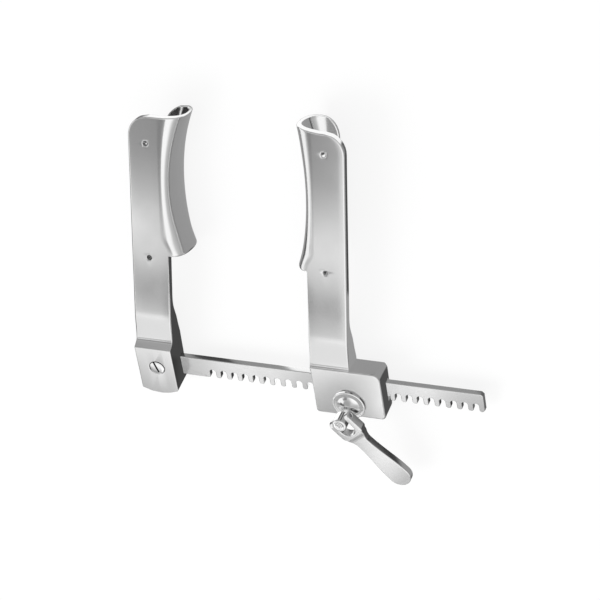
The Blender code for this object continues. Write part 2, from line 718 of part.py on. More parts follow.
def make_spindle(parent, material):
    """Crank post with a flared foot, its journal and the square tenon for the disc."""
    foot = BUSH_DISH_HEIGHT + SEAT_GAP
    waist = POST_WAIST_RADIUS
    head = POST_HEAD_RADIUS
    flare = POST_FLARE_RADIUS
    journal_end = -(HOUSING_FRONT - DISC_TOP)
    tenon_end = -(HOUSING_FRONT - DISC_BOTTOM)
    profile = [
        (0.0, POST_LENGTH - 0.0010), (POST_CENTRE_HOLE_RADIUS * 0.6, POST_LENGTH - 0.0008),
        (POST_CENTRE_HOLE_RADIUS, POST_LENGTH), (head - 0.0007, POST_LENGTH),
        (head - 0.0002, POST_LENGTH - 0.0002), (head, POST_LENGTH - 0.0007),
        (head, HINGE_HEIGHT - 0.0026), (head - 0.0003, HINGE_HEIGHT - 0.0034),
        (waist + 0.0001, HINGE_HEIGHT - 0.0042), (waist, HINGE_HEIGHT - 0.0048),
    ]
    for share in FLARE_SHARES:
        bell = waist + (flare - waist) * (1 - share) ** 3
        profile.append((bell, foot + 0.0002 + share * POST_FLARE_HEIGHT))
    profile += [
        (flare, foot), (JOURNAL_RADIUS, foot), (JOURNAL_RADIUS, journal_end), (0.0, journal_end),
    ]
    made = add_object("crank_spindle", profile_mesh("crank_spindle", profile), parent, material)
    add_screw_turn(made)
    half = TENON_SIDE / 2
    tenon = box_mesh("tenon", (-half, -half, tenon_end + 0.0001), (half, half, journal_end + 0.001))
    add_join(made, add_object("tenon", tenon, parent, cutter=True))
    bore = cylinder_mesh("post_bore", (0, 0), HINGE_PIN_RADIUS + TURN_GAP, -0.02, 0.02, steps=SMALL_STEPS)
    bore.transform(Matrix.Rotation(math.radians(90), 4, "X"))
    cutter = add_object("post_bore", bore, parent, cutter=True)
    cutter.location = (0, 0, HINGE_HEIGHT)
    cutter.rotation_euler = (0, 0, HANDLE_ANGLE)
    add_cut(made, cutter)
    smooth(made)
    return made


def pin_place(way):
    """Where a pin stands beside the crank's axis while the housing is parked."""
    turn = DRIVE_PARKED_ANGLE
    return -way * DRIVE_PIN_CIRCLE * math.sin(turn), way * DRIVE_PIN_CIRCLE * math.cos(turn)


def make_drive_disc(parent, material):
    """Disc on the tenon that carries the two pins."""
    top = DISC_TOP - HOUSING_FRONT
    bottom = DISC_BOTTOM - HOUSING_FRONT
    edge = 0.0003
    profile = [
        (0.0, top - FIT_GAP), (DISC_RADIUS - edge, top - FIT_GAP), (DISC_RADIUS, top - FIT_GAP - edge),
        (DISC_RADIUS, bottom + edge), (DISC_RADIUS - edge, bottom), (0.0, bottom),
    ]
    made = add_object("drive_disc", profile_mesh("drive_disc", profile), parent, material)
    add_screw_turn(made, 32)
    half = TENON_SIDE / 2 + TURN_GAP
    hole = box_mesh("tenon_hole", (-half, -half, bottom - 0.001), (half, half, top + 0.001))
    add_cut(made, add_object("tenon_hole", hole, parent, cutter=True))
    for number, way in enumerate((1, -1)):
        seat = cylinder_mesh(
            "pin_seat", pin_place(way), DRIVE_PIN_RADIUS + TURN_GAP,
            bottom - 0.001, top + 0.001, steps=16,
        )
        add_cut(made, add_object(f"pin_seat_{number}", seat, parent, cutter=True))
    smooth(made)
    return made


def make_drive_pins(parent, material):
    """Two pins that step through the rack's notches, a half turn to a notch."""
    top = DISC_TOP - HOUSING_FRONT - 2 * FIT_GAP
    low = -HOUSING_FRONT - RACK_THICKNESS - SEAT_GAP
    edge = 0.00025
    made = []
    for number, way in enumerate((1, -1)):
        profile = [
            (0.0, top), (DRIVE_PIN_RADIUS, top), (DRIVE_PIN_RADIUS, low + edge),
            (DRIVE_PIN_RADIUS - edge, low), (0.0, low),
        ]
        name = f"drive_pin_{number + 1}"
        pin = add_object(name, profile_mesh(name, profile), parent, material)
        pin.location = (*pin_place(way), 0)
        add_screw_turn(pin, 16)
        smooth(pin)
        made.append(pin)
    return made


def make_hinge_pin(parent, material):
    half = FORK_HALF_WIDTH - 0.0001
    edge = 0.0002
    profile = [
        (0.0, half), (HINGE_PIN_RADIUS - edge, half), (HINGE_PIN_RADIUS, half - edge),
        (HINGE_PIN_RADIUS, edge - half), (HINGE_PIN_RADIUS - edge, -half), (0.0, -half),
    ]
    made = add_object("handle_pin", profile_mesh("handle_pin", profile), parent, material)
    made.location = (0, 0, HINGE_HEIGHT)
    made.rotation_euler = (math.radians(90), 0, HANDLE_ANGLE)
    add_screw_turn(made, 24)
    smooth(made)
    return made


def lever_outline():
    """Front outline of the handle: fork head, waist, rounded paddle."""
    side = [
        (-FORK_HEEL, FORK_HALF_WIDTH - 0.0004), (-FORK_HEEL + 0.0004, FORK_HALF_WIDTH),
        (FORK_SHOULDER - 0.0012, FORK_HALF_WIDTH), (FORK_SHOULDER + 0.0004, FORK_HALF_WIDTH - 0.0009),
    ]
    for share in (0.30, 0.55, 0.80):
        x = FORK_SHOULDER + share * (LEVER_WAIST_AT - FORK_SHOULDER)
        narrow = FORK_HALF_WIDTH - LEVER_WAIST_HALF_WIDTH
        side.append((x, LEVER_WAIST_HALF_WIDTH + narrow * (1 - share) ** 1.8))
    for k in range(9):
        share = k / 8
        x = LEVER_WAIST_AT + share * (LEVER_PAD_AT - LEVER_WAIST_AT)
        grow = LEVER_PAD_HALF_WIDTH - LEVER_WAIST_HALF_WIDTH
        side.append((x, LEVER_WAIST_HALF_WIDTH + grow * ease(share)))
    tip = LEVER_LENGTH - LEVER_PAD_AT
    for a in (15, 30, 45, 60, 75, 85):
        turn = math.radians(a)
        side.append((LEVER_PAD_AT + tip * math.sin(turn), LEVER_PAD_HALF_WIDTH * math.cos(turn)))
    side.append((LEVER_LENGTH, 0.0))
    lower = [(x, -y) for x, y in reversed(side[:-1])]
    return side + lower


def make_handle(parent, material):
    """Fork lever that straddles the post and folds about the handle pin."""
    half = FORK_THICKNESS / 2
    mesh = outline_mesh("fold_handle", lever_outline(), -half - 0.001, half + 0.001)
    made = add_object("fold_handle", mesh, parent, material)
    # side view: rounded heel, full head, then a thinner lever
    lever = LEVER_THICKNESS / 2
    tip = LEVER_TIP_THICKNESS / 2
    upper = [
        (FORK_SHOULDER, half), (FORK_SHOULDER + 0.0035, lever + 0.0001), (LEVER_WAIST_AT, lever),
        (LEVER_LENGTH - 0.002, tip), (LEVER_LENGTH + 0.001, tip),
    ]
    side_view = [(x * FORK_HEEL, y * half) for x, y in arc((0, 0), 1.0, 90, 270, 11)]
    side_view += [(x, -y) for x, y in upper]
    side_view += list(reversed(upper))
    slab = outline_mesh("handle_side", side_view, -0.02, 0.02)
    slab.transform(Matrix.Rotation(math.radians(90), 4, "X"))
    add_join(made, add_object("handle_side", slab, parent, cutter=True), "INTERSECT")
    slot_middle = FORK_SLOT_END - FORK_SLOT_HALF_WIDTH
    slot = [(-FORK_HEEL - 0.002, -FORK_SLOT_HALF_WIDTH)]
    slot += arc((slot_middle, 0), FORK_SLOT_HALF_WIDTH, -90, 90, 13)
    slot += [(-FORK_HEEL - 0.002, FORK_SLOT_HALF_WIDTH)]
    gap = outline_mesh("fork_slot", slot, -half - 0.002, half + 0.002)
    add_cut(made, add_object("fork_slot", gap, parent, cutter=True))
    bore = cylinder_mesh("fork_bore", (0, 0), HINGE_PIN_RADIUS + TURN_GAP, -0.02, 0.02, steps=24)
    bore.transform(Matrix.Rotation(math.radians(90), 4, "X"))
    add_bevel(made, EDGE_ROUNDING)
    add_cut(made, add_object("fork_bore", bore, parent, cutter=True))
    smooth(made)
    return made


def lie_on_back(frame):
    """Tilt the frame so the housing's lower edge and the blades' backs touch the table."""
    low_y, low_z = HOUSING_BOTTOM, back_of_block(HOUSING_BOTTOM)
    blade_y, blade_z = arm_point(BLADE_START, HOOK_DEPTH)
    frame.rotation_euler = (math.atan2(low_z - blade_z, blade_y - low_y), 0, 0)
    frame.location = (0, 0, 0)
    bpy.context.view_layer.update()
    graph = bpy.context.evaluated_depsgraph_get()
    low = [math.inf] * 3
    high = [-math.inf] * 3
    for made in PARTS.objects:
        if made.type != "MESH":
            continue
        shape = made.evaluated_get(graph)
        for vertex in shape.data.vertices:
            place = shape.matrix_world @ vertex.co
            for k in range(3):
                low[k] = min(low[k], place[k])
                high[k] = max(high[k], place[k])
    frame.location = (-(low[0] + high[0]) / 2, -(low[1] + high[1]) / 2, -low[2])
    bpy.context.view_layer.update()


clear_scene()
PARTS = make_collection("rib_spreader")
CUTTERS = make_collection("cutters")

satin = make_material("satin stainless steel", (0.62, 0.62, 0.62), 0.30)
polished = make_material("polished stainless steel", (0.70, 0.70, 0.70), 0.16)
ground = make_material("ground stainless steel", (0.56, 0.56, 0.56), 0.36)
hardened = make_material("hardened steel pin", (0.48, 0.48, 0.49), 0.28)

frame_empty = make_empty("instrument_frame", None)
slide_empty = make_empty("moving_arm_slide", frame_empty, (CRANK_X, CRANK_Y, 0))
crank_empty = make_empty("crank_axis", slide_empty, (0, 0, HOUSING_FRONT))
hinge_empty = make_empty("handle_hinge", crank_empty, (0, 0, HINGE_HEIGHT), HANDLE_ANGLE)

make_fixed_arm(frame_empty, satin)
make_rack(frame_empty, ground)
make_rack_screw(frame_empty, polished)
make_moving_arm(slide_empty, satin.copy())
make_bush(slide_empty, polished.copy())
make_spindle(crank_empty, polished.copy())
make_drive_disc(crank_empty, hardened)
make_drive_pins(crank_empty, hardened.copy())
make_hinge_pin(crank_empty, hardened.copy())
make_handle(hinge_empty, satin.copy())

lie_on_back(frame_empty)
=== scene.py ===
"""The looks of the rib spreader: fine steel surfaces, a white studio and the camera.

The instrument's own directions are X along the rack, Y up the arms and Z out of the
crank side. Every piece is built there and then brought to the frame's place.
"""

import json
import math
from collections import namedtuple

import bmesh
import bpy
from mathutils import Matrix, Vector


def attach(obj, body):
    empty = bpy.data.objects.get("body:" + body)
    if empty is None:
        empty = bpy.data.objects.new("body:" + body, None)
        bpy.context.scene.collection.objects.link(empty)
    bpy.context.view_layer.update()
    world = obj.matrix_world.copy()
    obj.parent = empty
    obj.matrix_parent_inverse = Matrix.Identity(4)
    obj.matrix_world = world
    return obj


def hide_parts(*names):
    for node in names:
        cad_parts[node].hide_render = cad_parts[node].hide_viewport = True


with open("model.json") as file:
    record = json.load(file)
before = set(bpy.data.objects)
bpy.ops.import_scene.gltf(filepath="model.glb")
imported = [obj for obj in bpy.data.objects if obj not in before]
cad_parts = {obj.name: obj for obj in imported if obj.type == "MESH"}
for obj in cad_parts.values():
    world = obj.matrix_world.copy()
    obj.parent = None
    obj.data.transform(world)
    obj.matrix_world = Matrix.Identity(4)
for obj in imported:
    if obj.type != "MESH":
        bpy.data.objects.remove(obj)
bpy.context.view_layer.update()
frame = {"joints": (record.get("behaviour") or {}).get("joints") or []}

# Rack
RACK_HEIGHT = 0.0114
RACK_THICKNESS = 0.0030
NOTCH_PITCH = 0.0056
NOTCH_WIDTH = 0.0030
NOTCH_DEPTH = 0.0050
NOTCH_COUNT = 25
FIRST_NOTCH_X = 0.0159
RACK_TAIL = 0.0043
TOOTH_TIP_RADIUS = 0.0011
RACK_END_CHAMFER = 0.0012
RACK_EDGE_ROUNDING = 0.0004
TANG_RISE = 0.0040
TANG_COLLAR = 0.0024

# Fixed block, at the left end of the rack
FIXED_WIDTH = 0.0187
FIXED_FRONT = 0.0092
FIXED_TOP = 0.0116
FIXED_BOTTOM = -0.0149
FIXED_BOTTOM_BULGE = 0.0024
BLOCK_BACK_TOP = -0.0056
BLOCK_BACK_BOTTOM = -0.0044
SCREW_ASIDE = 0.00045
SCREW_Y = -0.0009
SCREW_HEAD_RADIUS = 0.0041
SCREW_SHANK_RADIUS = 0.0021
SCREW_SLOT_WIDTH = 0.0010
SCREW_SLOT_DEPTH = 0.0010
SCREW_SLOT_ANGLE = math.radians(-72.0)
# crown of the head: share of its radius and height; then its rim: way in from the edge and height
SCREW_CROWN = ((0.0, 0.0002), (0.5, 0.00018), (0.8, 0.00012))
SCREW_RIM = ((0.0003, 0.00004), (0.00005, -0.00012), (0.0, -0.0002))
SCREW_END_SHORT = 0.0006
SCREW_END_CHAMFER = 0.0005
# painted shade in the slot: how deep it starts and how far past the slot's walls it counts
SLOT_SHADE_DEPTH = 0.0001
SLOT_SHADE_WALL = 0.00005
# painted shade in the gap around the head: how wide and how deep its ring is
RIM_SHADE_WIDTH = 0.00032
RIM_SHADE_DEPTH = 0.0003

# Arms: a strip that leans back from the block, then the hook blade
ARM_LEAN = math.radians(19.4)
ARM_PLANE_RISE = 0.0113
ARM_THICKNESS = 0.0044
MOVING_WIDTH = 0.0197
BLADE_START = 0.0600
BLADE_END = 0.1303
BLADE_CORNER = 0.0102
EDGE_ROUNDING = 0.00090
# the rims take this share of the rounding, and the knee, where faces lie close, the tight one
RIM_SHARE = 0.6
TIGHT_SHARE = 0.15
ON_EDGE = 0.0001
FIXED_TIGHT_BELOW = 0.0012
MOVING_TIGHT_BELOW = 0.0075
TIGHT_ABOVE = 0.0030
LEDGE_ROUNDING = 0.0006
KNEE_SPAN = 0.0276
KNEE_FIRST_RUN = 0.0003
KNEE_SINK = 0.00145
KNEE_LENGTH = 0.0160
KNEE_FILLET = 0.0007
BACK_BEND_START = 0.0220
BACK_BEND_END = 0.0430

# Hook blade section
HOOK_DEPTH = 0.0245
HOOK_REACH_MIDDLE = 0.0022
HOOK_FOLD_START = 0.0040
HOOK_FOLD_RUN = 0.0100
HOOK_FOOT_ROUNDING = 0.0020
HOOK_FOOT_SHARE = 0.7
HOOK_WALL = 0.0018
HOOK_LIP_WIDTH = 0.0092
HOOK_LIP_FOOT_CORNER = 0.0050
TIP_SLANT_START = 0.0055
TIP_SLANT_SPAN = 0.0125
HOOK_SQUARENESS = 2.6
# what the two blades differ in: the reach at their ends, the corner and rise of the lip, the
# rise and slant of the tip, and how far up the foot starts
Blade = namedtuple("Blade", "reach_ends lip_corner lip_rise tip_rise tip_slant foot_rise")
FIXED_BLADE = Blade(
    reach_ends=0.0086, lip_corner=0.0135, lip_rise=-0.0004, tip_rise=0.0, tip_slant=0.0,
    foot_rise=0.0,
)
MOVING_BLADE = Blade(
    reach_ends=0.0069, lip_corner=0.0100, lip_rise=0.0016, tip_rise=0.0006, tip_slant=0.0016,
    foot_rise=0.0008,
)
TIE_HOLE_RADIUS = 0.0011
TIE_HOLE_RIM_RADIUS = 0.0018
TIE_HOLE_ASIDE = 0.0006
FIXED_HOLE_FROM_TIP = 0.0137
FIXED_HOLE_FROM_FOOT = -0.0017
MOVING_HOLE_FROM_TIP = 0.0098
MOVING_HOLE_FROM_FOOT = 0.0010

# Sliding housing
PARKED_NOTCH = 13
PARKED_SHORT_OF_NOTCH = 0.0003
CRANK_HEIGHT_OVER_TIPS = 0.0010
HOUSING_LEFT_OF_CRANK = 0.0176
HOUSING_WIDTH = 0.0353
HOUSING_FRONT = 0.0070
HOUSING_TOP = 0.0103
HOUSING_BOTTOM = -0.0183
HOUSING_TOP_SLOPE = 0.0016
HOUSING_CORNER = 0.0050
HOUSING_LOW_CORNER = 0.0024
HOUSING_SMALL_CORNER = 0.0015
HOUSING_BLANK_BACK = -0.0120
# the strip's root inside the housing: down from its top, in from its front and from its back
STRIP_ROOT_DROP = 0.0060
STRIP_ROOT_FRONT = 0.0025
STRIP_ROOT_BACK = 0.0008
# the strip's front and inner side stay just inside the housing's
STRIP_FRONT_INSET = 0.0001
STRIP_SIDE_INSET = 0.00002

# Clearances
SLIDE_GAP = 0.00025
FIT_GAP = 0.00015
SEAT_GAP = 0.0003
TURN_GAP = 0.0001
# how far a cutting shape runs past the piece that it cuts
PAST = 0.001

# Crank and its bearing
BUSH_FLANGE_RADIUS = 0.0083
BUSH_RIM_HEIGHT = 0.0014
BUSH_RIM_WIDTH = 0.0010
BUSH_DISH_HEIGHT = 0.0008
BUSH_FILLET = 0.0003
BUSH_FILLET_BEND = 0.0001
BUSH_EDGE_ROUNDING = 0.0004
BUSH_BARREL_RADIUS = 0.0053
BUSH_BARREL_LENGTH = 0.0043
SPANNER_HOLE_RADIUS = 0.0005
SPANNER_HOLE_DEPTH = 0.0005
SPANNER_HOLE_CIRCLE = 0.0065
SPANNER_HOLE_ANGLES = (-20, 160)
JOURNAL_RADIUS = 0.0029
POST_WAIST_RADIUS = 0.0029
POST_HEAD_RADIUS = 0.0036
POST_FLARE_RADIUS = 0.0056
POST_FLARE_HEIGHT = 0.0052
POST_FLARE_RIM = 0.0002
POST_FLARE_POWER = 3
POST_LENGTH = 0.0160
POST_TOP_ROUNDING = 0.0007
# the post narrows below the hinge: drop from the hinge, and way in from the head or out from the waist
NECK_FROM_HEAD = ((0.0024, 0.0), (0.0030, 0.00015))
NECK_TO_WAIST = ((0.0040, 0.00020), (0.0048, 0.0))
# the centre mark in the post's end: share of its radius and depth
POST_CENTRE_HOLE_RADIUS = 0.0009
POST_CENTRE_HOLE = ((0.0, 0.0010), (0.6, 0.0008), (1.0, 0.0001))
POST_CENTRE_HOLE_RIM = 0.0001
DISC_RADIUS = 0.0047
DISC_THICKNESS = 0.0019
DISC_EDGE = 0.0003
TENON_SIDE = 0.0027
TENON_SHORT = 0.0001
DRIVE_PIN_RADIUS = 0.00075
DRIVE_PIN_EDGE = 0.00025
PIN_EDGE_SHARE = 0.3

# Folding handle
HANDLE_ANGLE = math.radians(-50.0)
HINGE_HEIGHT = 0.0117
FORK_SLOT_HALF_WIDTH = 0.0039
FORK_SLOT_END = 0.0086
FORK_HALF_WIDTH = 0.0067
FORK_HEEL = 0.0022
FORK_HEEL_CHAMFER = 0.0004
FORK_SHOULDER = 0.0092
FORK_SHOULDER_ROUNDING = 0.0020
FORK_SHOULDER_ROUNDING_START = 0.0014
FORK_THICKNESS = 0.0050
# from the fork's thickness to the lever's: way past the shoulder, and down from the fork's
# face or up from the lever's
STEP_FROM_FORK = ((0.0, 0.0), (0.0010, 0.00008))
STEP_TO_LEVER = ((0.0024, 0.00012), (0.0035, 0.00002))
# the neck's outline starts past the shoulder and in from the fork's side, then curves in
NECK_START = (0.0006, 0.0011)
NECK_SHARES = (0.30, 0.55, 0.80)
NECK_POWER = 1.8
LEVER_WAIST_AT = 0.0155
LEVER_WAIST_HALF_WIDTH = 0.0037
LEVER_PAD_AT = 0.0402
LEVER_PAD_HALF_WIDTH = 0.0058
LEVER_LENGTH = 0.0460
LEVER_THICKNESS = 0.0042
LEVER_TIP_THICKNESS = 0.0037
LEVER_TIP_FLAT = 0.0020
HANDLE_EDGE_ROUNDING = 0.0005
HINGE_PIN_RADIUS = 0.0011
HINGE_PIN_EDGE = 0.0002
HINGE_PIN_SHORT = 0.0001
# how far a cutting shape runs to each side where it crosses the whole handle
ACROSS = 0.02

# How finely the curves are drawn
KNEE_STEPS = 26
KNEE_STEP_GROWTH = 1.7
HOOK_STEPS = 41
HOOK_FINE_STEPS = 240
FACE_POINTS = 5
# rings of the blade: close together at its foot and tip, evenly spaced between
FOOT_STATIONS = (0.0, 0.0010, 0.0019, 0.0030, 0.0046)
EVEN_STATIONS_START = 0.0065
EVEN_STATIONS = 26
TIP_STATION_TURNS = (0, 10, 20, 30, 39, 47, 54, 60, 66, 90)
FLARE_STEPS = 28
LEVER_STEPS = 8
LEVER_END_STEPS = 24
TURNED_STEPS = 96
DRAWING_SCALE = 100.0

# Worked out from the sizes above
RACK_TOP = 0.0
TIP_LINE = RACK_TOP - RACK_HEIGHT
LAST_NOTCH_X = FIRST_NOTCH_X + (NOTCH_COUNT - 1) * NOTCH_PITCH
RACK_RIGHT = LAST_NOTCH_X + RACK_TAIL
SCREW_X = -FIXED_WIDTH / 2 + SCREW_ASIDE
CRANK_X = FIRST_NOTCH_X + PARKED_NOTCH * NOTCH_PITCH - PARKED_SHORT_OF_NOTCH
CRANK_Y = TIP_LINE + CRANK_HEIGHT_OVER_TIPS
DRIVE_PIN_CIRCLE = NOTCH_PITCH / 2
DRIVE_PARKED_ANGLE = -math.pi * PARKED_SHORT_OF_NOTCH / NOTCH_PITCH
HOUSING_LEFT = CRANK_X - HOUSING_LEFT_OF_CRANK
HOUSING_RIGHT = HOUSING_LEFT + HOUSING_WIDTH
DISC_TOP = HOUSING_FRONT - BUSH_BARREL_LENGTH - SEAT_GAP
DISC_BOTTOM = DISC_TOP - DISC_THICKNESS
BORE_RADIUS = BUSH_BARREL_RADIUS + FIT_GAP
PIN_ROOM_RADIUS = DRIVE_PIN_CIRCLE + DRIVE_PIN_RADIUS + SEAT_GAP

# The frame's place: the crank's joint gives the instrument's Z and one point
crank_joint = next(j for j in frame["joints"] if j["name"] == "crank_turn")
axis_x = Vector((1, 0, 0))
axis_z = Vector(crank_joint["axis"]).normalized()
axis_y = axis_z.cross(axis_x)
turn = Matrix((axis_x, axis_y, axis_z)).transposed()
crank_point = Vector((CRANK_X, CRANK_Y, HOUSING_FRONT))
PLACE = Matrix.Translation(Vector(crank_joint["pos_m"]) - turn @ crank_point) @ turn.to_4x4()
AT_CRANK = Matrix.Translation(crank_point)
HINGE_ON_POST = Matrix.Translation((0, 0, HINGE_HEIGHT)) @ Matrix.Rotation(HANDLE_ANGLE, 4, "Z")
AT_HINGE = AT_CRANK @ HINGE_ON_POST
# lays what is drawn along Z down along Y, and stands a drawn side view up with its depth along X
LAID_DOWN = Matrix.Rotation(math.radians(90), 4, "X")
SIDE_VIEW = Matrix(((0, 0, 1, 0), (1, 0, 0, 0), (0, 1, 0, 0), (0, 0, 0, 1)))


# Mesh helpers
def link(name, mesh):
    made = bpy.data.objects.new(name, mesh)
    bpy.context.scene.collection.objects.link(made)
    return made


def mesh_from(bm, name):
    bmesh.ops.recalc_face_normals(bm, faces=bm.faces)
    mesh = bpy.data.meshes.new(name)
    bm.to_mesh(mesh)
    bm.free()
    return mesh


def box_mesh(name, low, high):
    bm = bmesh.new()
    bmesh.ops.create_cube(bm, size=1.0)
    bmesh.ops.scale(bm, vec=[high[k] - low[k] for k in range(3)], verts=bm.verts)
    bmesh.ops.translate(bm, vec=[(high[k] + low[k]) / 2 for k in range(3)], verts=bm.verts)
    return mesh_from(bm, name)


def cylinder_mesh(name, centre, radius, low, high, steps=48):
    bm = bmesh.new()
    bmesh.ops.create_cone(
        bm, cap_ends=True, segments=steps, radius1=radius, radius2=radius, depth=high - low,
    )
    bmesh.ops.translate(bm, vec=(centre[0], centre[1], (low + high) / 2), verts=bm.verts)
    return mesh_from(bm, name)


def outline_mesh(name, points, low, high, holes=()):
    """A flat outline in X and Y, extruded along Z, drawn large so that it fills cleanly."""
    curve = bpy.data.curves.new(name, "CURVE")
    curve.dimensions = "2D"
    curve.fill_mode = "BOTH"
    curve.extrude = DRAWING_SCALE * (high - low) / 2
    for loop in (points, *holes):
        spline = curve.splines.new("POLY")
        spline.points.add(len(loop) - 1)
        for place, (x, y) in zip(spline.points, loop):
            place.co = (x * DRAWING_SCALE, y * DRAWING_SCALE, 0, 1)
        spline.use_cyclic_u = True
    holder = link(name, curve)
    graph = bpy.context.evaluated_depsgraph_get()
    bm = bmesh.new()
    bm.from_mesh(bpy.data.meshes.new_from_object(holder.evaluated_get(graph)))
    bpy.data.objects.remove(holder)
    bmesh.ops.remove_doubles(bm, verts=bm.verts, dist=1e-4)
    bmesh.ops.scale(bm, vec=[1 / DRAWING_SCALE] * 3, verts=bm.verts)
    bmesh.ops.dissolve_limit(bm, angle_limit=0.0005, verts=bm.verts, edges=bm.edges)
    bmesh.ops.translate(bm, vec=(0, 0, (low + high) / 2), verts=bm.verts)
    return mesh_from(bm, name)


def turned_mesh(name, profile, steps=TURNED_STEPS, closed=False):
    """A turned shape from radius and height pairs that run down the outer side."""
    bm = bmesh.new()
    places = [bm.verts.new((radius, 0, height)) for radius, height in profile]
    edges = [bm.edges.new(pair) for pair in zip(places, places[1:])]
    if closed:
        edges.append(bm.edges.new((places[-1], places[0])))
    bmesh.ops.spin(
        bm, geom=places + edges, cent=(0, 0, 0), axis=(0, 0, 1), angle=math.tau, steps=steps,
        use_merge=True, use_normal_flip=False,
    )
    bmesh.ops.remove_doubles(bm, verts=bm.verts, dist=2e-6)
    return mesh_from(bm, name)


def moved(mesh, matrix):
    mesh.transform(matrix)
    return mesh


def cut(target, mesh, operation="DIFFERENCE"):
    """Booleans one mesh with another and keeps the result."""
    cutter = link("cutter", mesh)
    step = target.modifiers.new("Cut", "BOOLEAN")
    step.operation = operation
    step.solver = "EXACT"
    step.object = cutter
    keep_modifiers(target)
    bpy.data.objects.remove(cutter)


def keep_modifiers(target):
    graph = bpy.context.evaluated_depsgraph_get()
    target.data = bpy.data.meshes.new_from_object(target.evaluated_get(graph))
    target.modifiers.clear()


def round_edges(target, width, segments=3, angle=30.0, share=None):
    """Rounds the sharp edges; share gives an edge's part of the width by its middle point."""
    bm = bmesh.new()
    bm.from_mesh(target.data)
    weights = bm.edges.layers.float.new("bevel_weight_edge")
    for edge in bm.edges:
        if edge.is_manifold and edge.calc_face_angle() > math.radians(angle):
            middle = (edge.verts[0].co + edge.verts[1].co) / 2
            edge[weights] = share(middle) if share else 1.0
    bm.to_mesh(target.data)
    bm.free()
    step = target.modifiers.new("Edges", "BEVEL")
    step.width = width
    step.segments = segments
    step.limit_method = "WEIGHT"
    step.use_clamp_overlap = False
    keep_modifiers(target)


def arm_edges(inner_x, outer_x, tight):
    """Full rounding for an arm's two long edges, less for its rims, least in the tight span."""
    def share(point):
        if tight[0] < point.y < tight[1]:
            return TIGHT_SHARE
        off_edge = min(abs(point.x - inner_x), abs(point.x - outer_x))
        return 1.0 if off_edge < ON_EDGE else RIM_SHARE
    return share


def settle(piece, node, body, material, angle=50.0):
    """Brings a piece to the frame, hides the CAD node it stands for, hangs it on its body and gives its
    steel.
    """
    piece.data.transform(PLACE)
    piece.data.shade_smooth()
    piece.data.set_sharp_from_angle(angle=math.radians(angle))
    # large flat faces keep their own normals beside the rounded edges
    step = piece.modifiers.new("Normals", "WEIGHTED_NORMAL")
    step.mode = "FACE_AREA"
    step.weight = 100
    step.keep_sharp = True
    keep_modifiers(piece)
    piece.data.materials.clear()
    piece.data.materials.append(material)
    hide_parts(node)
    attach(piece, body)
    return piece


def arc(centre, radius, start, end, count):
    points = []
    for k in range(count):
        a = math.radians(start + (end - start) * k / (count - 1))
        points.append((centre[0] + radius * math.cos(a), centre[1] + radius * math.sin(a)))
    return points


def ease(value):
    value = min(max(value, 0.0), 1.0)
    return value * value * (3 - 2 * value)


def spline_through(points, per_span):
    """A smooth curve through points of any number of numbers."""
    result = []
    last = len(points) - 1
    for k in range(last):
        p0, p1 = points[max(k - 1, 0)], points[k]
        p2, p3 = points[k + 1], points[min(k + 2, last)]
        for n in range(per_span):
            t = n / per_span
            result.append(tuple(
                0.5 * (2 * b + (c - a) * t + (2 * a - 5 * b + 4 * c - d) * t ** 2
                       + (3 * b - a - 3 * c + d) * t ** 3)
                for a, b, c, d in zip(p0, p1, p2, p3)
            ))
    result.append(tuple(points[last]))
    return result


# Arms
def arm_point(along, depth):
    y = along * math.cos(ARM_LEAN) - depth * math.sin(ARM_LEAN)
    z = ARM_PLANE_RISE - along * math.sin(ARM_LEAN) - depth * math.cos(ARM_LEAN)
    return y, z


def back_of_block(y):
    share = (y - FIXED_BOTTOM) / (FIXED_TOP - FIXED_BOTTOM)
    return BLOCK_BACK_BOTTOM + (BLOCK_BACK_TOP - BLOCK_BACK_BOTTOM) * share


def knee_front(front, top, run):
    """Front of the strip a given way above the block: a fillet, a hollow, then the lean."""
    lean = ARM_PLANE_RISE - (top + run) * math.tan(ARM_LEAN)
    at_edge = ARM_PLANE_RISE - top * math.tan(ARM_LEAN)
    sink = KNEE_SINK * (1 - ease(run / KNEE_LENGTH))
    return lean - sink + (front - at_edge + KNEE_SINK) * math.exp(-run / KNEE_FILLET)


def strip_slices(front, top, first):
    """Front and back places of the strip, from the block's top edge to the blade."""
    slices = [first]
    flat = back_of_block(FIXED_TOP)
    # the block's top edge is rounded here, so that the knee can start close above it
    for y, z in arc((top - LEDGE_ROUNDING, front - LEDGE_ROUNDING), LEDGE_ROUNDING, 90, 0, 7):
        slices.append(((y, z), (y, flat)))
    for k in range(KNEE_STEPS + 1):
        run = KNEE_FIRST_RUN + KNEE_SPAN * (k / KNEE_STEPS) ** KNEE_STEP_GROWTH
        y = top + run
        along = y / math.cos(ARM_LEAN)
        leave = ease((along - BACK_BEND_START) / (BACK_BEND_END - BACK_BEND_START))
        back = arm_point(along, ARM_THICKNESS)
        behind = (y + (back[0] - y) * leave, flat + (back[1] - flat) * leave)
        slices.append(((y, knee_front(front, top, run)), behind))
    last = (BACK_BEND_END + BLADE_START) / 2
    slices.append((arm_point(last, 0), arm_point(last, ARM_THICKNESS)))
    return slices


def rounded_end(distance, corner):
    if distance >= corner:
        return 0.0
    return corner - math.sqrt(max(corner ** 2 - (corner - distance) ** 2, 0.0))


def hook_reach(along, reach_ends):
    middle = (BLADE_START + BLADE_END) / 2
    half = (BLADE_END - BLADE_START) / 2
    reach = HOOK_REACH_MIDDLE + (reach_ends - HOOK_REACH_MIDDLE) * ((along - middle) / half) ** 2
    return reach - HOOK_FOOT_SHARE * rounded_end(along - BLADE_START, HOOK_FOOT_ROUNDING)


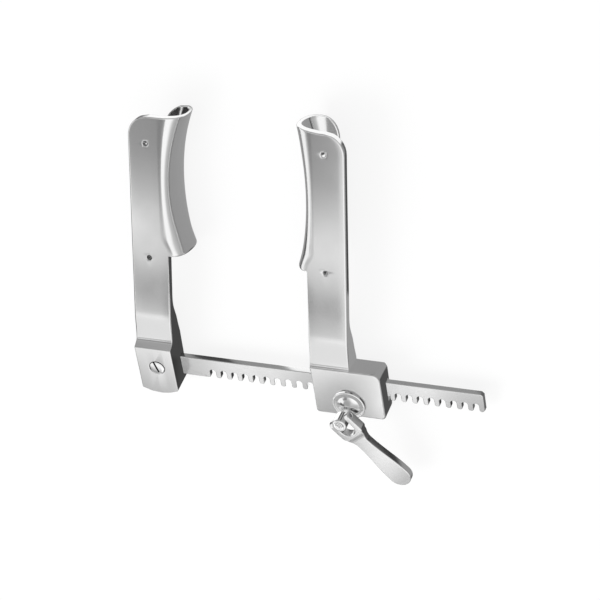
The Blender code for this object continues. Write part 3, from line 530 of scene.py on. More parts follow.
def spread_along(path, count):
    lengths = [0.0]
    for first, second in zip(path, path[1:]):
        lengths.append(lengths[-1] + math.dist(first, second))
    points = []
    piece = 0
    for k in range(count):
        wanted = lengths[-1] * k / (count - 1)
        while piece < len(path) - 2 and lengths[piece + 1] < wanted:
            piece += 1
        share = (wanted - lengths[piece]) / (lengths[piece + 1] - lengths[piece])
        share = min(max(share, 0.0), 1.0)
        first, second = path[piece], path[piece + 1]
        points.append(tuple(first[n] + (second[n] - first[n]) * share for n in range(2)))
    return points


def hook_path(fold, reach, near, far, lip_edge):
    """From the front of the fold round to the lip's edge, evenly spaced."""
    power = 2 / HOOK_SQUARENESS
    middle = (near + far) / 2
    half = (far - near) / 2
    path = []
    for k in range(HOOK_FINE_STEPS + 1):
        a = math.pi * k / HOOK_FINE_STEPS
        side = max(math.sin(a), 0.0) ** power
        deep = math.copysign(abs(math.cos(a)) ** power, math.cos(a))
        x = fold + (reach - fold) * side
        if k > HOOK_FINE_STEPS / 2 and x < lip_edge:
            break
        path.append((x, middle - half * deep))
    if lip_edge < fold:
        path.append((lip_edge, far))
    return spread_along(path, HOOK_STEPS)


def hook_section(along, width, blade):
    """Outline of the blade across the arm: reach past the inner edge, and depth."""
    fold = -HOOK_FOLD_START * ease((along - BLADE_START) / HOOK_FOLD_RUN)
    outer_edge = -width + rounded_end(BLADE_END - along, BLADE_CORNER)
    lip_edge = -HOOK_LIP_WIDTH
    lip_edge += rounded_end(BLADE_END - along, blade.lip_corner)
    lip_edge += rounded_end(along - BLADE_START, HOOK_LIP_FOOT_CORNER)
    reach = hook_reach(along, blade.reach_ends)
    steps = FACE_POINTS - 1
    front = [(outer_edge + (fold - outer_edge) * k / steps, 0.0) for k in range(steps)]
    outside = hook_path(fold, reach, 0.0, HOOK_DEPTH, lip_edge)
    inside = hook_path(fold, reach - HOOK_WALL, ARM_THICKNESS, HOOK_DEPTH - HOOK_WALL, lip_edge)
    back = [(x, ARM_THICKNESS) for x, _ in reversed(front)]
    return front + outside + list(reversed(inside)) + back


def tip_shift(x, depth, blade):
    """How far the blade's end runs on: it slants from the fold down to the outer edge."""
    outward = min(max((TIP_SLANT_START - x) / TIP_SLANT_SPAN, 0.0), 1.0)
    front = blade.tip_rise + blade.tip_slant * (1 - outward)
    return front + (blade.lip_rise - front) * ease(depth / HOOK_DEPTH)


def close_ring(bm, ring):
    """Caps a C-shaped ring between its front and back points."""
    count = len(ring)
    for k in range(count // 2 - 1):
        bm.faces.new((ring[k], ring[k + 1], ring[count - 2 - k], ring[count - 1 - k]))


def join_rings(bm, low, high):
    count = len(low)
    for k in range(count):
        bm.faces.new((low[k], low[(k + 1) % count], high[(k + 1) % count], high[k]))


def arm_mesh(name, width, inner_x, side, slices, blade, bulge=0.0):
    """Loft of the block, the strip and the hook blade.

    side is +1 where the hook reaches to +X, -1 where it reaches to -X. bulge is how far the
    block's lower edge is bowed down in its middle.
    """
    bm = bmesh.new()
    foot = hook_section(BLADE_START, width, blade)
    places = [x for x, _ in foot[:FACE_POINTS] + foot[-FACE_POINTS:]]
    strip_rings = []
    for index, (front, back) in enumerate(slices):
        ring = []
        for k, x in enumerate(places):
            y, z = front if k < FACE_POINTS else back
            drop = bulge * (1 - (2 * x / width + 1) ** 2) if index == 0 else 0.0
            ring.append(bm.verts.new((inner_x + side * x, y - drop, z)))
        strip_rings.append(ring)
    length = BLADE_END - BLADE_START
    body = length - max(BLADE_CORNER, blade.lip_corner)
    start = EVEN_STATIONS_START
    stations = list(FOOT_STATIONS)
    stations += [start + (body - start) * k / EVEN_STATIONS for k in range(EVEN_STATIONS)]
    for turn_by in TIP_STATION_TURNS:
        stations.append(body + (length - body) * math.sin(math.radians(turn_by)))
    blade_rings = []
    for station in stations:
        ring = []
        # the tip's slant comes in over the last quarter, the foot's rise goes over the first
        lift = ease(4 * station / length - 3)
        for x, depth in hook_section(BLADE_START + station, width, blade):
            along = BLADE_START + station + lift * tip_shift(x, depth, blade)
            along += blade.foot_rise * (1 - ease(4 * station / length))
            y, z = arm_point(along, depth)
            ring.append(bm.verts.new((inner_x + side * x, y, z)))
        blade_rings.append(ring)
    strip_rings.append(blade_rings[0][:FACE_POINTS] + blade_rings[0][-FACE_POINTS:])
    close_ring(bm, strip_rings[0])
    for low, high in zip(strip_rings, strip_rings[1:]):
        join_rings(bm, low, high)
    close_ring(bm, blade_rings[0][FACE_POINTS - 1:len(foot) - FACE_POINTS + 1])
    for low, high in zip(blade_rings, blade_rings[1:]):
        join_rings(bm, low, high)
    close_ring(bm, blade_rings[-1])
    return mesh_from(bm, name)


def tie_hole(x, along):
    y, z = arm_point(along, 0)
    over = 0.0003
    profile = [
        (0.0, over), (TIE_HOLE_RIM_RADIUS + over, over),
        (TIE_HOLE_RADIUS, TIE_HOLE_RADIUS - TIE_HOLE_RIM_RADIUS),
        (TIE_HOLE_RADIUS, -ARM_THICKNESS - PAST), (0.0, -ARM_THICKNESS - PAST),
    ]
    mesh = turned_mesh("tie_hole", profile, 40)
    return moved(mesh, Matrix.Translation((x, y, z)) @ Matrix.Rotation(-ARM_LEAN, 4, "X"))


def make_fixed_arm(material):
    first = ((FIXED_BOTTOM, FIXED_FRONT), (FIXED_BOTTOM, BLOCK_BACK_BOTTOM))
    slices = strip_slices(FIXED_FRONT, FIXED_TOP, first)
    mesh = arm_mesh("fixed_arm_fine", FIXED_WIDTH, 0.0, 1, slices, FIXED_BLADE, FIXED_BOTTOM_BULGE)
    made = link("fixed_arm_fine", mesh)
    tight = (FIXED_TOP - FIXED_TIGHT_BELOW, FIXED_TOP + TIGHT_ABOVE)
    round_edges(made, EDGE_ROUNDING, share=arm_edges(0.0, -FIXED_WIDTH, tight))
    cut(made, box_mesh(
        "rack_room", (-TANG_COLLAR - FIT_GAP, TIP_LINE - FIT_GAP, -RACK_THICKNESS - FIT_GAP),
        (2 * PAST, RACK_TOP + FIT_GAP, FIT_GAP),
    ))
    cut(made, box_mesh(
        "tang_room", (-FIXED_WIDTH - 2 * PAST, TIP_LINE - FIT_GAP, -RACK_THICKNESS - FIT_GAP),
        (-TANG_COLLAR + FIT_GAP, RACK_TOP + TANG_RISE + FIT_GAP, FIT_GAP),
    ))
    head = SCREW_HEAD_RADIUS + 2 * FIT_GAP
    shank = SCREW_SHANK_RADIUS + FIT_GAP
    over = 0.0005
    through = back_of_block(SCREW_Y) - FIXED_FRONT - 2 * PAST
    profile = [
        (0.0, over), (head + over, over), (shank, shank - head), (shank, through), (0.0, through),
    ]
    sink = turned_mesh("screw_sink", profile, 72)
    cut(made, moved(sink, Matrix.Translation((SCREW_X, SCREW_Y, FIXED_FRONT))))
    for along in (BLADE_END - FIXED_HOLE_FROM_TIP, BLADE_START + FIXED_HOLE_FROM_FOOT):
        cut(made, tie_hole(-FIXED_WIDTH / 2 - TIE_HOLE_ASIDE, along))
    return settle(made, "fixed_arm", "rack_frame", material)


def make_moving_arm(material):
    left, right = HOUSING_LEFT, HOUSING_RIGHT
    low, high = HOUSING_BOTTOM, HOUSING_TOP
    big, lower, small = HOUSING_CORNER, HOUSING_LOW_CORNER, HOUSING_SMALL_CORNER
    outline = [(left, high)]
    outline += arc((left + small, low + small), small, 180, 270, 9)
    outline += arc((right - lower, low + lower), lower, 270, 360, 11)
    outline += arc((right - big, high - big), big, 0, 90, 17)
    blank = outline_mesh("moving_arm_fine", outline, HOUSING_BLANK_BACK, HOUSING_FRONT)
    made = link("moving_arm_fine", blank)
    back_low = back_of_block(low)
    back_high = back_of_block(high)
    side_view = [
        (low - PAST, HOUSING_FRONT + PAST), (high, HOUSING_FRONT + PAST), (high, HOUSING_FRONT),
        (high - HOUSING_TOP_SLOPE, back_high), (low, back_low), (low - PAST, back_low),
    ]
    slab = outline_mesh("housing_side", side_view, left - PAST, right + PAST)
    cut(made, moved(slab, SIDE_VIEW), "INTERSECT")
    round_edges(made, EDGE_ROUNDING)
    inner_x = HOUSING_LEFT + STRIP_SIDE_INSET
    root = high - STRIP_ROOT_DROP
    first = ((root, HOUSING_FRONT - STRIP_ROOT_FRONT), (root, BLOCK_BACK_TOP + STRIP_ROOT_BACK))
    slices = strip_slices(HOUSING_FRONT - STRIP_FRONT_INSET, high, first)
    strip = link("strip", arm_mesh("strip", MOVING_WIDTH, inner_x, -1, slices, MOVING_BLADE))
    tight = (high - MOVING_TIGHT_BELOW, high + TIGHT_ABOVE)
    round_edges(strip, EDGE_ROUNDING, share=arm_edges(inner_x, inner_x + MOVING_WIDTH, tight))
    cut(made, strip.data, "UNION")
    bpy.data.objects.remove(strip)
    cut(made, box_mesh(
        "rack_way", (left - 2 * PAST, TIP_LINE - SLIDE_GAP, -RACK_THICKNESS - SLIDE_GAP),
        (right + 2 * PAST, RACK_TOP + SLIDE_GAP, SLIDE_GAP),
    ))
    centre = (CRANK_X, CRANK_Y)
    cut(made, cylinder_mesh("bush_bore", centre, BORE_RADIUS, 0.0, HOUSING_FRONT + PAST, 72))
    room_back = -RACK_THICKNESS - 2 * SEAT_GAP
    cut(made, cylinder_mesh("pin_room", centre, PIN_ROOM_RADIUS, room_back, PAST / 2))
    for along in (BLADE_END - MOVING_HOLE_FROM_TIP, BLADE_START + MOVING_HOLE_FROM_FOOT):
        cut(made, tie_hole(inner_x + MOVING_WIDTH / 2 - TIE_HOLE_ASIDE, along))
    return settle(made, "moving_arm", "sliding_arm", material)


def notch_cutter():
    """One round-topped notch with its rounded mouth, as a block to cut with."""
    half = NOTCH_WIDTH / 2
    tip = TOOTH_TIP_RADIUS
    points = [(half + tip, TIP_LINE - PAST)]
    points += arc((half + tip, TIP_LINE + tip), tip, 270, 180, 7)
    points += arc((0, TIP_LINE + NOTCH_DEPTH - half), half, 0, 180, 21)
    points += arc((-half - tip, TIP_LINE + tip), tip, 0, -90, 7)
    points += [(-half - tip, TIP_LINE - PAST)]
    return link("notch_cutter", outline_mesh("notch_cutter", points, -RACK_THICKNESS - PAST, PAST))


def notched_tree(cutter):
    """Geometry nodes that cut a row of evenly pitched notches into a plain bar."""
    tree = bpy.data.node_groups.new("notched_bar", "GeometryNodeTree")
    sockets = (
        ("Bar", "NodeSocketGeometry"), ("Notches", "NodeSocketInt"), ("First Notch", "NodeSocketVector"),
        ("Pitch", "NodeSocketVector"), ("Steel", "NodeSocketMaterial"),
    )
    for name, kind in sockets:
        tree.interface.new_socket(name=name, in_out="INPUT", socket_type=kind)
    tree.interface.new_socket(name="Bar", in_out="OUTPUT", socket_type="NodeSocketGeometry")
    given = add_node(tree, "NodeGroupInput").outputs
    places = add_node(tree, "GeometryNodeMeshLine", links={
        "Count": given["Notches"], "Start Location": given["First Notch"], "Offset": given["Pitch"],
    })
    shape = add_node(tree, "GeometryNodeObjectInfo", {"Object": cutter})
    row = add_node(tree, "GeometryNodeInstanceOnPoints", links={
        "Points": places.outputs["Mesh"], "Instance": shape.outputs["Geometry"],
    })
    solid_row = add_node(tree, "GeometryNodeRealizeInstances", links={"Geometry": row.outputs["Instances"]})
    cut_bar = add_node(
        tree, "GeometryNodeMeshBoolean",
        links={"Mesh 1": given["Bar"], "Mesh 2": solid_row.outputs["Geometry"]},
        operation="DIFFERENCE", solver="EXACT",
    )
    whole = add_node(tree, "GeometryNodeRealizeInstances", links={"Geometry": cut_bar.outputs["Mesh"]})
    finished = add_node(tree, "GeometryNodeSetMaterial", links={
        "Geometry": whole.outputs["Geometry"], "Material": given["Steel"],
    })
    add_node(tree, "NodeGroupOutput", links={"Bar": finished.outputs["Geometry"]})
    return tree


def make_rack(material):
    left, chamfer = -FIXED_WIDTH + FIT_GAP, RACK_END_CHAMFER
    points = [
        (left, RACK_TOP + TANG_RISE), (-TANG_COLLAR, RACK_TOP + TANG_RISE), (-TANG_COLLAR, RACK_TOP),
        (RACK_RIGHT - chamfer, RACK_TOP), (RACK_RIGHT, RACK_TOP - chamfer),
        (RACK_RIGHT, TIP_LINE + chamfer), (RACK_RIGHT - chamfer, TIP_LINE), (left, TIP_LINE),
    ]
    hole = arc((SCREW_X, SCREW_Y), SCREW_SHANK_RADIUS + FIT_GAP, 0, 351, 40)
    made = link("rack_bar_fine", outline_mesh("rack_bar_fine", points, -RACK_THICKNESS, 0.0, [hole]))
    cutter = notch_cutter()
    tree = notched_tree(cutter)
    sizes = {
        "Notches": NOTCH_COUNT, "First Notch": (FIRST_NOTCH_X, 0.0, 0.0),
        "Pitch": (NOTCH_PITCH, 0.0, 0.0), "Steel": material,
    }
    step = made.modifiers.new("Notches", "NODES")
    step.node_group = tree
    for socket in tree.interface.items_tree:
        if socket.in_out == "INPUT" and socket.name in sizes:
            step[socket.identifier] = sizes[socket.name]
    keep_modifiers(made)
    bpy.data.objects.remove(cutter)
    round_edges(made, RACK_EDGE_ROUNDING, 3, 50.0)
    return settle(made, "rack_bar", "rack_frame", material, 35.0)


def make_screw(material, shade_paint):
    head, shank = SCREW_HEAD_RADIUS, SCREW_SHANK_RADIUS
    end = back_of_block(SCREW_Y) + SCREW_END_SHORT - FIXED_FRONT
    chamfer = SCREW_END_CHAMFER
    profile = [(head * share, height) for share, height in SCREW_CROWN]
    profile += [(head - inward, height) for inward, height in SCREW_RIM]
    # the head is countersunk at 45 degrees below its rim
    profile += [(shank, SCREW_RIM[-1][1] - (head - shank))]
    profile += [(shank, end + chamfer), (shank - chamfer, end), (0.0, end)]
    made = link("rack_screw_fine", turned_mesh("rack_screw_fine", profile))
    half = SCREW_SLOT_WIDTH / 2
    cut(made, box_mesh("screw_slot", (-head - PAST, -half, -SCREW_SLOT_DEPTH), (head + PAST, half, PAST)))
    # nearly black paint for the shade in the slot and in the gap around the head
    painted_shade_faces = [
        face.center.z < -SLOT_SHADE_DEPTH and abs(face.center.y) < half + SLOT_SHADE_WALL
        or face.center.z > -RIM_SHADE_DEPTH and face.center.xy.length > head - RIM_SHADE_WIDTH
        for face in made.data.polygons
    ]
    place = Matrix.Translation((SCREW_X, SCREW_Y, FIXED_FRONT))
    made.data.transform(place @ Matrix.Rotation(SCREW_SLOT_ANGLE, 4, "Z"))
    settle(made, "rack_screw", "rack_frame", material)
    # the faces in shade take the nearly black painted shade, the rest stay steel
    made.data.materials.append(shade_paint)
    for face, dark in zip(made.data.polygons, painted_shade_faces):
        face.material_index = int(dark)
    return made


def make_bush(material):
    flange = BUSH_FLANGE_RADIUS
    inner = flange - BUSH_RIM_WIDTH
    bore = JOURNAL_RADIUS + TURN_GAP
    dish, top, end = BUSH_DISH_HEIGHT, BUSH_RIM_HEIGHT, -BUSH_BARREL_LENGTH
    fillet, bend, edge = BUSH_FILLET, BUSH_FILLET_BEND, BUSH_EDGE_ROUNDING
    profile = [(bore, dish), (inner - fillet, dish), (inner - bend, dish + bend), (inner, dish + fillet)]
    profile += arc((inner + fillet, top - fillet), fillet, 150, 90, 4)
    profile += arc((flange - edge, top - edge), edge, 90, 0, 6)
    profile += [(flange, FIT_GAP), (BUSH_BARREL_RADIUS, FIT_GAP), (BUSH_BARREL_RADIUS, end), (bore, end)]
    made = link("bearing_bush_fine", turned_mesh("bearing_bush_fine", profile, closed=True))
    for turn_by in SPANNER_HOLE_ANGLES:
        a = math.radians(turn_by)
        place = (SPANNER_HOLE_CIRCLE * math.cos(a), SPANNER_HOLE_CIRCLE * math.sin(a))
        low = dish - SPANNER_HOLE_DEPTH
        cut(made, cylinder_mesh("hole", place, SPANNER_HOLE_RADIUS, low, 3 * PAST, 24))
    made.data.transform(AT_CRANK)
    return settle(made, "bearing_bush", "sliding_arm", material)


def hinge_bore():
    bore = cylinder_mesh("bore", (0, 0), HINGE_PIN_RADIUS + TURN_GAP, -ACROSS, ACROSS)
    return moved(bore, LAID_DOWN)


def make_spindle(material):
    foot = BUSH_DISH_HEIGHT + SEAT_GAP
    waist, head, flare = POST_WAIST_RADIUS, POST_HEAD_RADIUS, POST_FLARE_RADIUS
    journal_end = -(HOUSING_FRONT - DISC_TOP)
    tenon_end = -(HOUSING_FRONT - DISC_BOTTOM)
    hole, edge = POST_CENTRE_HOLE_RADIUS, POST_TOP_ROUNDING
    profile = [(hole * share, POST_LENGTH - depth) for share, depth in POST_CENTRE_HOLE]
    profile += [(hole + POST_CENTRE_HOLE_RIM, POST_LENGTH)]
    profile += arc((head - edge, POST_LENGTH - edge), edge, 90, 0, 8)
    neck = [(head - inward, HINGE_HEIGHT - drop) for drop, inward in NECK_FROM_HEAD]
    neck += [(waist + outward, HINGE_HEIGHT - drop) for drop, outward in NECK_TO_WAIST]
    profile += spline_through(neck, 5)
    for k in range(1, FLARE_STEPS + 1):
        share = 1 - k / FLARE_STEPS
        bell = waist + (flare - waist) * (1 - share) ** POST_FLARE_POWER
        profile.append((bell, foot + POST_FLARE_RIM + share * POST_FLARE_HEIGHT))
    profile += [(flare, foot), (JOURNAL_RADIUS, foot), (JOURNAL_RADIUS, journal_end), (0.0, journal_end)]
    made = link("crank_spindle_fine", turned_mesh("crank_spindle_fine", profile))
    half = TENON_SIDE / 2
    tenon = box_mesh("tenon", (-half, -half, tenon_end + TENON_SHORT), (half, half, journal_end + PAST))
    cut(made, tenon, "UNION")
    cut(made, moved(hinge_bore(), HINGE_ON_POST))
    made.data.transform(AT_CRANK)
    return settle(made, "crank_spindle", "crank", material)


def pin_place(way):
    """Where a pin stands beside the crank's axis while the housing is parked."""
    out = way * DRIVE_PIN_CIRCLE
    return -out * math.sin(DRIVE_PARKED_ANGLE), out * math.cos(DRIVE_PARKED_ANGLE)


def pin_end(radius, height, edge):
    """The rounded upper end of a round pin, from its axis to its side."""
    soft = edge * PIN_EDGE_SHARE
    return [(0.0, height), (radius - edge, height), (radius - soft, height - soft), (radius, height - edge)]


def turned_over(profile):
    return [(x, -y) for x, y in reversed(profile)]


def make_drive(material):
    top, bottom = DISC_TOP - HOUSING_FRONT, DISC_BOTTOM - HOUSING_FRONT
    radius, edge = DISC_RADIUS, DISC_EDGE
    profile = [
        (0.0, top - FIT_GAP), (radius - edge, top - FIT_GAP), (radius, top - FIT_GAP - edge),
        (radius, bottom + edge), (radius - edge, bottom), (0.0, bottom),
    ]
    disc = link("drive_disc_fine", turned_mesh("drive_disc_fine", profile))
    half = TENON_SIDE / 2 + TURN_GAP
    cut(disc, box_mesh("tenon_hole", (-half, -half, bottom - PAST), (half, half, top + PAST)))
    for way in (1, -1):
        seat = DRIVE_PIN_RADIUS + TURN_GAP
        cut(disc, cylinder_mesh("seat", pin_place(way), seat, bottom - PAST, top + PAST, 32))
    disc.data.transform(AT_CRANK)
    settle(disc, "drive_disc", "crank", material)
    top = top - 2 * FIT_GAP
    low = -HOUSING_FRONT - RACK_THICKNESS - SEAT_GAP
    profile = [(0.0, top), (DRIVE_PIN_RADIUS, top)]
    profile += turned_over(pin_end(DRIVE_PIN_RADIUS, -low, DRIVE_PIN_EDGE))
    for number, way in enumerate((1, -1), 1):
        name = f"drive_pin_{number}"
        pin = link(name + "_fine", turned_mesh(name + "_fine", profile, 32))
        pin.data.transform(AT_CRANK @ Matrix.Translation((*pin_place(way), 0)))
        settle(pin, name, "crank", material)


def make_hinge_pin(material):
    profile = pin_end(HINGE_PIN_RADIUS, FORK_HALF_WIDTH - HINGE_PIN_SHORT, HINGE_PIN_EDGE)
    profile += turned_over(profile)
    made = link("handle_pin_fine", turned_mesh("handle_pin_fine", profile, 40))
    made.data.transform(AT_HINGE @ LAID_DOWN)
    return settle(made, "handle_pin", "crank", material)


def lever_outline():
    shoulder, wide, waist = FORK_SHOULDER, FORK_HALF_WIDTH, LEVER_WAIST_HALF_WIDTH
    side = [(shoulder + NECK_START[0], wide - NECK_START[1])]
    for share in NECK_SHARES:
        x = shoulder + share * (LEVER_WAIST_AT - shoulder)
        side.append((x, waist + (wide - waist) * (1 - share) ** NECK_POWER))
    for k in range(LEVER_STEPS + 1):
        share = k / LEVER_STEPS
        x = LEVER_WAIST_AT + share * (LEVER_PAD_AT - LEVER_WAIST_AT)
        side.append((x, waist + (LEVER_PAD_HALF_WIDTH - waist) * ease(share)))
    chamfer, corner = FORK_HEEL_CHAMFER, FORK_SHOULDER_ROUNDING
    head = [(-FORK_HEEL, wide - chamfer), (-FORK_HEEL + chamfer, wide)]
    head += arc((shoulder - FORK_SHOULDER_ROUNDING_START, wide - corner), corner, 90, 45, 5)
    tip = LEVER_LENGTH - LEVER_PAD_AT
    end = []
    for k in range(1, LEVER_END_STEPS):
        a = math.radians(90 * k / LEVER_END_STEPS)
        end.append((LEVER_PAD_AT + tip * math.sin(a), LEVER_PAD_HALF_WIDTH * math.cos(a)))
    side = head + spline_through(side, 4) + end
    return side + [(LEVER_LENGTH, 0.0)] + turned_over(side)


def make_handle(material):
    half = FORK_THICKNESS / 2
    blank = outline_mesh("fold_handle_fine", lever_outline(), -half - PAST, half + PAST)
    made = link("fold_handle_fine", blank)
    lever, tip = LEVER_THICKNESS / 2, LEVER_TIP_THICKNESS / 2
    upper = [(FORK_SHOULDER + run, half - drop) for run, drop in STEP_FROM_FORK]
    upper += [(FORK_SHOULDER + run, lever + rise) for run, rise in STEP_TO_LEVER]
    upper += [(LEVER_WAIST_AT, lever), (LEVER_LENGTH - LEVER_TIP_FLAT, tip), (LEVER_LENGTH + PAST, tip)]
    side_view = [(x * FORK_HEEL, y * half) for x, y in arc((0, 0), 1.0, 90, 270, 25)]
    side_view += [(x, -y) for x, y in upper]
    side_view += list(reversed(upper))
    cut(made, moved(outline_mesh("handle_side", side_view, -ACROSS, ACROSS), LAID_DOWN), "INTERSECT")
    middle = FORK_SLOT_END - FORK_SLOT_HALF_WIDTH
    mouth = -FORK_HEEL - 2 * PAST
    slot = [(mouth, -FORK_SLOT_HALF_WIDTH)]
    slot += arc((middle, 0), FORK_SLOT_HALF_WIDTH, -90, 90, 33)
    slot += [(mouth, FORK_SLOT_HALF_WIDTH)]
    cut(made, outline_mesh("fork_slot", slot, -half - 2 * PAST, half + 2 * PAST))
    round_edges(made, HANDLE_EDGE_ROUNDING, 3, 40.0)
    cut(made, hinge_bore())
    made.data.transform(AT_HINGE)
    return settle(made, "fold_handle", "handle", material)


# Materials
def linear(code, share=1.0):
    """A colour written as an sRGB hex code, in the linear values the shaders take."""
    values = [int(code[k:k + 2], 16) / 255 for k in (1, 3, 5)]
    values = [v / 12.92 if v <= 0.04045 else ((v + 0.055) / 1.055) ** 2.4 for v in values]
    return [value * share for value in values] + [1.0]


def add_node(tree, kind, values=None, links=None, **settings):
    """Adds a node with its settings, the values of its sockets and what links to them."""
    node = tree.nodes.new(kind)
    for name, setting in settings.items():
        setattr(node, name, setting)
    for socket, value in (values or {}).items():
        node.inputs[socket].default_value = value
    for socket, source in (links or {}).items():
        tree.links.new(source, node.inputs[socket])
    return node


# How far apart the handling marks are, and how deep the polishing lines look
HANDLING_MARK = 0.018
LINE_RELIEF = 0.00001


def steel(name, colour, roughness, spread, grain, direction, bump, smudge=0.04):
    """Stainless steel whose gloss varies with fine polishing lines and faint handling marks.

    grain is how many lines lie in a millimetre, direction scales them along each axis.
    """
    made = bpy.data.materials.new(name)
    made.use_nodes = True
    tree = made.node_tree
    shader = tree.nodes["Principled BSDF"]
    shader.inputs["Metallic"].default_value = 1.0
    place = add_node(tree, "ShaderNodeTexCoord")
    # turned so that the lines run along the instrument's own directions
    own = add_node(
        tree, "ShaderNodeMapping", {"Rotation": (-PLACE.to_euler().x, 0, 0)},
        {"Vector": place.outputs["Object"]}, vector_type="POINT",
    )
    stretched = add_node(
        tree, "ShaderNodeMapping", {"Scale": [1000 * grain * part for part in direction]},
        {"Vector": own.outputs["Vector"]}, vector_type="POINT",
    )
    lines = add_node(
        tree, "ShaderNodeTexNoise", {"Scale": 1.0, "Detail": 3.0}, {"Vector": stretched.outputs["Vector"]},
    )
    marks = add_node(
        tree, "ShaderNodeTexNoise", {"Scale": 1 / HANDLING_MARK, "Detail": 2.0},
        {"Vector": own.outputs["Vector"]},
    )
    line_gloss = add_node(
        tree, "ShaderNodeMapRange",
        {"From Min": 0.3, "From Max": 0.7, "To Min": roughness - spread, "To Max": roughness + spread},
        {"Value": lines.outputs["Fac"]},
    )
    mark_gloss = add_node(
        tree, "ShaderNodeMapRange", {"From Min": 0.35, "From Max": 0.75, "To Min": 0.0, "To Max": smudge},
        {"Value": marks.outputs["Fac"]},
    )
    both = add_node(
        tree, "ShaderNodeMath", links={0: line_gloss.outputs[0], 1: mark_gloss.outputs[0]}, operation="ADD",
    )
    # a touch darker where the marks are
    tint = add_node(
        tree, "ShaderNodeMix", {6: linear(colour), 7: linear(colour, 0.93)},
        {"Factor": marks.outputs["Fac"]}, data_type="RGBA",
    )
    relief = add_node(
        tree, "ShaderNodeBump", {"Strength": bump, "Distance": LINE_RELIEF},
        {"Height": lines.outputs["Fac"]},
    )
    tree.links.new(both.outputs[0], shader.inputs["Roughness"])
    tree.links.new(tint.outputs[2], shader.inputs["Base Color"])
    tree.links.new(relief.outputs["Normal"], shader.inputs["Normal"])
    return made


# buffed forging: clear, slightly soft reflections, with faint polishing lines up the arms
arm_steel = steel("buffed arm steel", "#dcdcdc", 0.14, 0.02, 4.0, (1.0, 0.05, 1.0), 0.10)
# ground bar stock: a little duller, its lines run along the bar
rack_steel = steel("ground rack steel", "#d4d4d4", 0.18, 0.03, 5.0, (0.05, 1.0, 1.0), 0.15)
# turned and buffed: the sharpest reflections
turned_steel = steel("turned and buffed steel", "#e2e2e2", 0.09, 0.02, 5.0, (1.0, 1.0, 1.0), 0.05, 0.02)
# hardened pins and disc: a little darker and duller
pin_steel = steel("hardened pin steel", "#b4b4b6", 0.22, 0.04, 8.0, (1.0, 1.0, 1.0), 0.15)
# painted shade for the screw's slot and the gap around its head: nearly black and dull
painted_slot_shade = steel("painted shade steel", "#2c2c2c", 0.55, 0.05, 6.0, (1.0, 1.0, 1.0), 0.10)
# the handle is buffed by hand, so its marks run both ways in its faces
handle_steel = steel("buffed handle steel", "#dcdcdc", 0.15, 0.02, 4.0, (0.3, 0.3, 1.0), 0.10)

# The pieces
make_fixed_arm(arm_steel)
rack = make_rack(rack_steel)
make_screw(turned_steel, painted_slot_shade)
moving_arm = make_moving_arm(arm_steel)
make_bush(turned_steel)
spindle = make_spindle(turned_steel)
make_drive(pin_steel)
hinge_pin = make_hinge_pin(pin_steel)
handle = make_handle(handle_steel)
# the steel shows the studio and not these neighbours, as in a retouched catalogue picture
for piece in (rack, moving_arm, spindle, hinge_pin, handle):
    piece.visible_glossy = False


# Stage
FLOOR_RADIUS = 4.0
FLOOR_BELOW = 0.0002
FLOOR_TONE = (0.9, 0.9, 0.9, 1.0)
FLOOR_GLOW_SHARE = 0.85


def empty_material(name):
    made = bpy.data.materials.new(name)
    made.use_nodes = True
    made.node_tree.nodes.clear()
    return made


def make_floor():
    """Paper that looks evenly white, straight on or in the steel, and lights as matte paper does."""
    bm = bmesh.new()
    bmesh.ops.create_circle(bm, cap_ends=True, segments=96, radius=FLOOR_RADIUS)
    bmesh.ops.translate(bm, vec=(0, 0, -FLOOR_BELOW), verts=bm.verts)
    floor = link("floor", mesh_from(bm, "floor"))
    made = empty_material("white paper floor")
    tree = made.node_tree
    matte = add_node(tree, "ShaderNodeBsdfDiffuse", {"Color": FLOOR_TONE})
    glow = add_node(tree, "ShaderNodeEmission", {"Strength": 1.0})
    rays = add_node(tree, "ShaderNodeLightPath").outputs
    seen = rays["Is Camera Ray"]
    for kind in ("Is Glossy Ray", "Is Transmission Ray"):
        either = add_node(tree, "ShaderNodeMath", links={0: seen, 1: rays[kind]}, operation="MAXIMUM")
        seen = either.outputs[0]
    share = add_node(tree, "ShaderNodeMath", {1: FLOOR_GLOW_SHARE}, {0: seen}, operation="MULTIPLY")
    mix = add_node(tree, "ShaderNodeMixShader", links={
        0: share.outputs[0], 1: matte.outputs[0], 2: glow.outputs[0],
    })
    add_node(tree, "ShaderNodeOutputMaterial", links={"Surface": mix.outputs[0]})
    floor.data.materials.append(made)


def box_mask(tree, place, low, high, soft):
    """1 inside a box of the place's X and Y, falling softly to 0 outside."""
    parts = add_node(tree, "ShaderNodeSeparateXYZ", links={0: place}).outputs
    edges = []
    for axis in (0, 1):
        middle = (low[axis] + high[axis]) / 2
        half = (high[axis] - low[axis]) / 2
        off = add_node(tree, "ShaderNodeMath", {1: middle}, {0: parts[axis]}, operation="SUBTRACT")
        size = add_node(tree, "ShaderNodeMath", links={0: off.outputs[0]}, operation="ABSOLUTE")
        edge = add_node(
            tree, "ShaderNodeMapRange", {"From Min": half + soft, "From Max": half},
            {"Value": size.outputs[0]}, interpolation_type="SMOOTHSTEP",
        )
        edges.append(edge.outputs[0])
    both = add_node(tree, "ShaderNodeMath", links={0: edges[0], 1: edges[1]}, operation="MULTIPLY")
    return both.outputs[0]


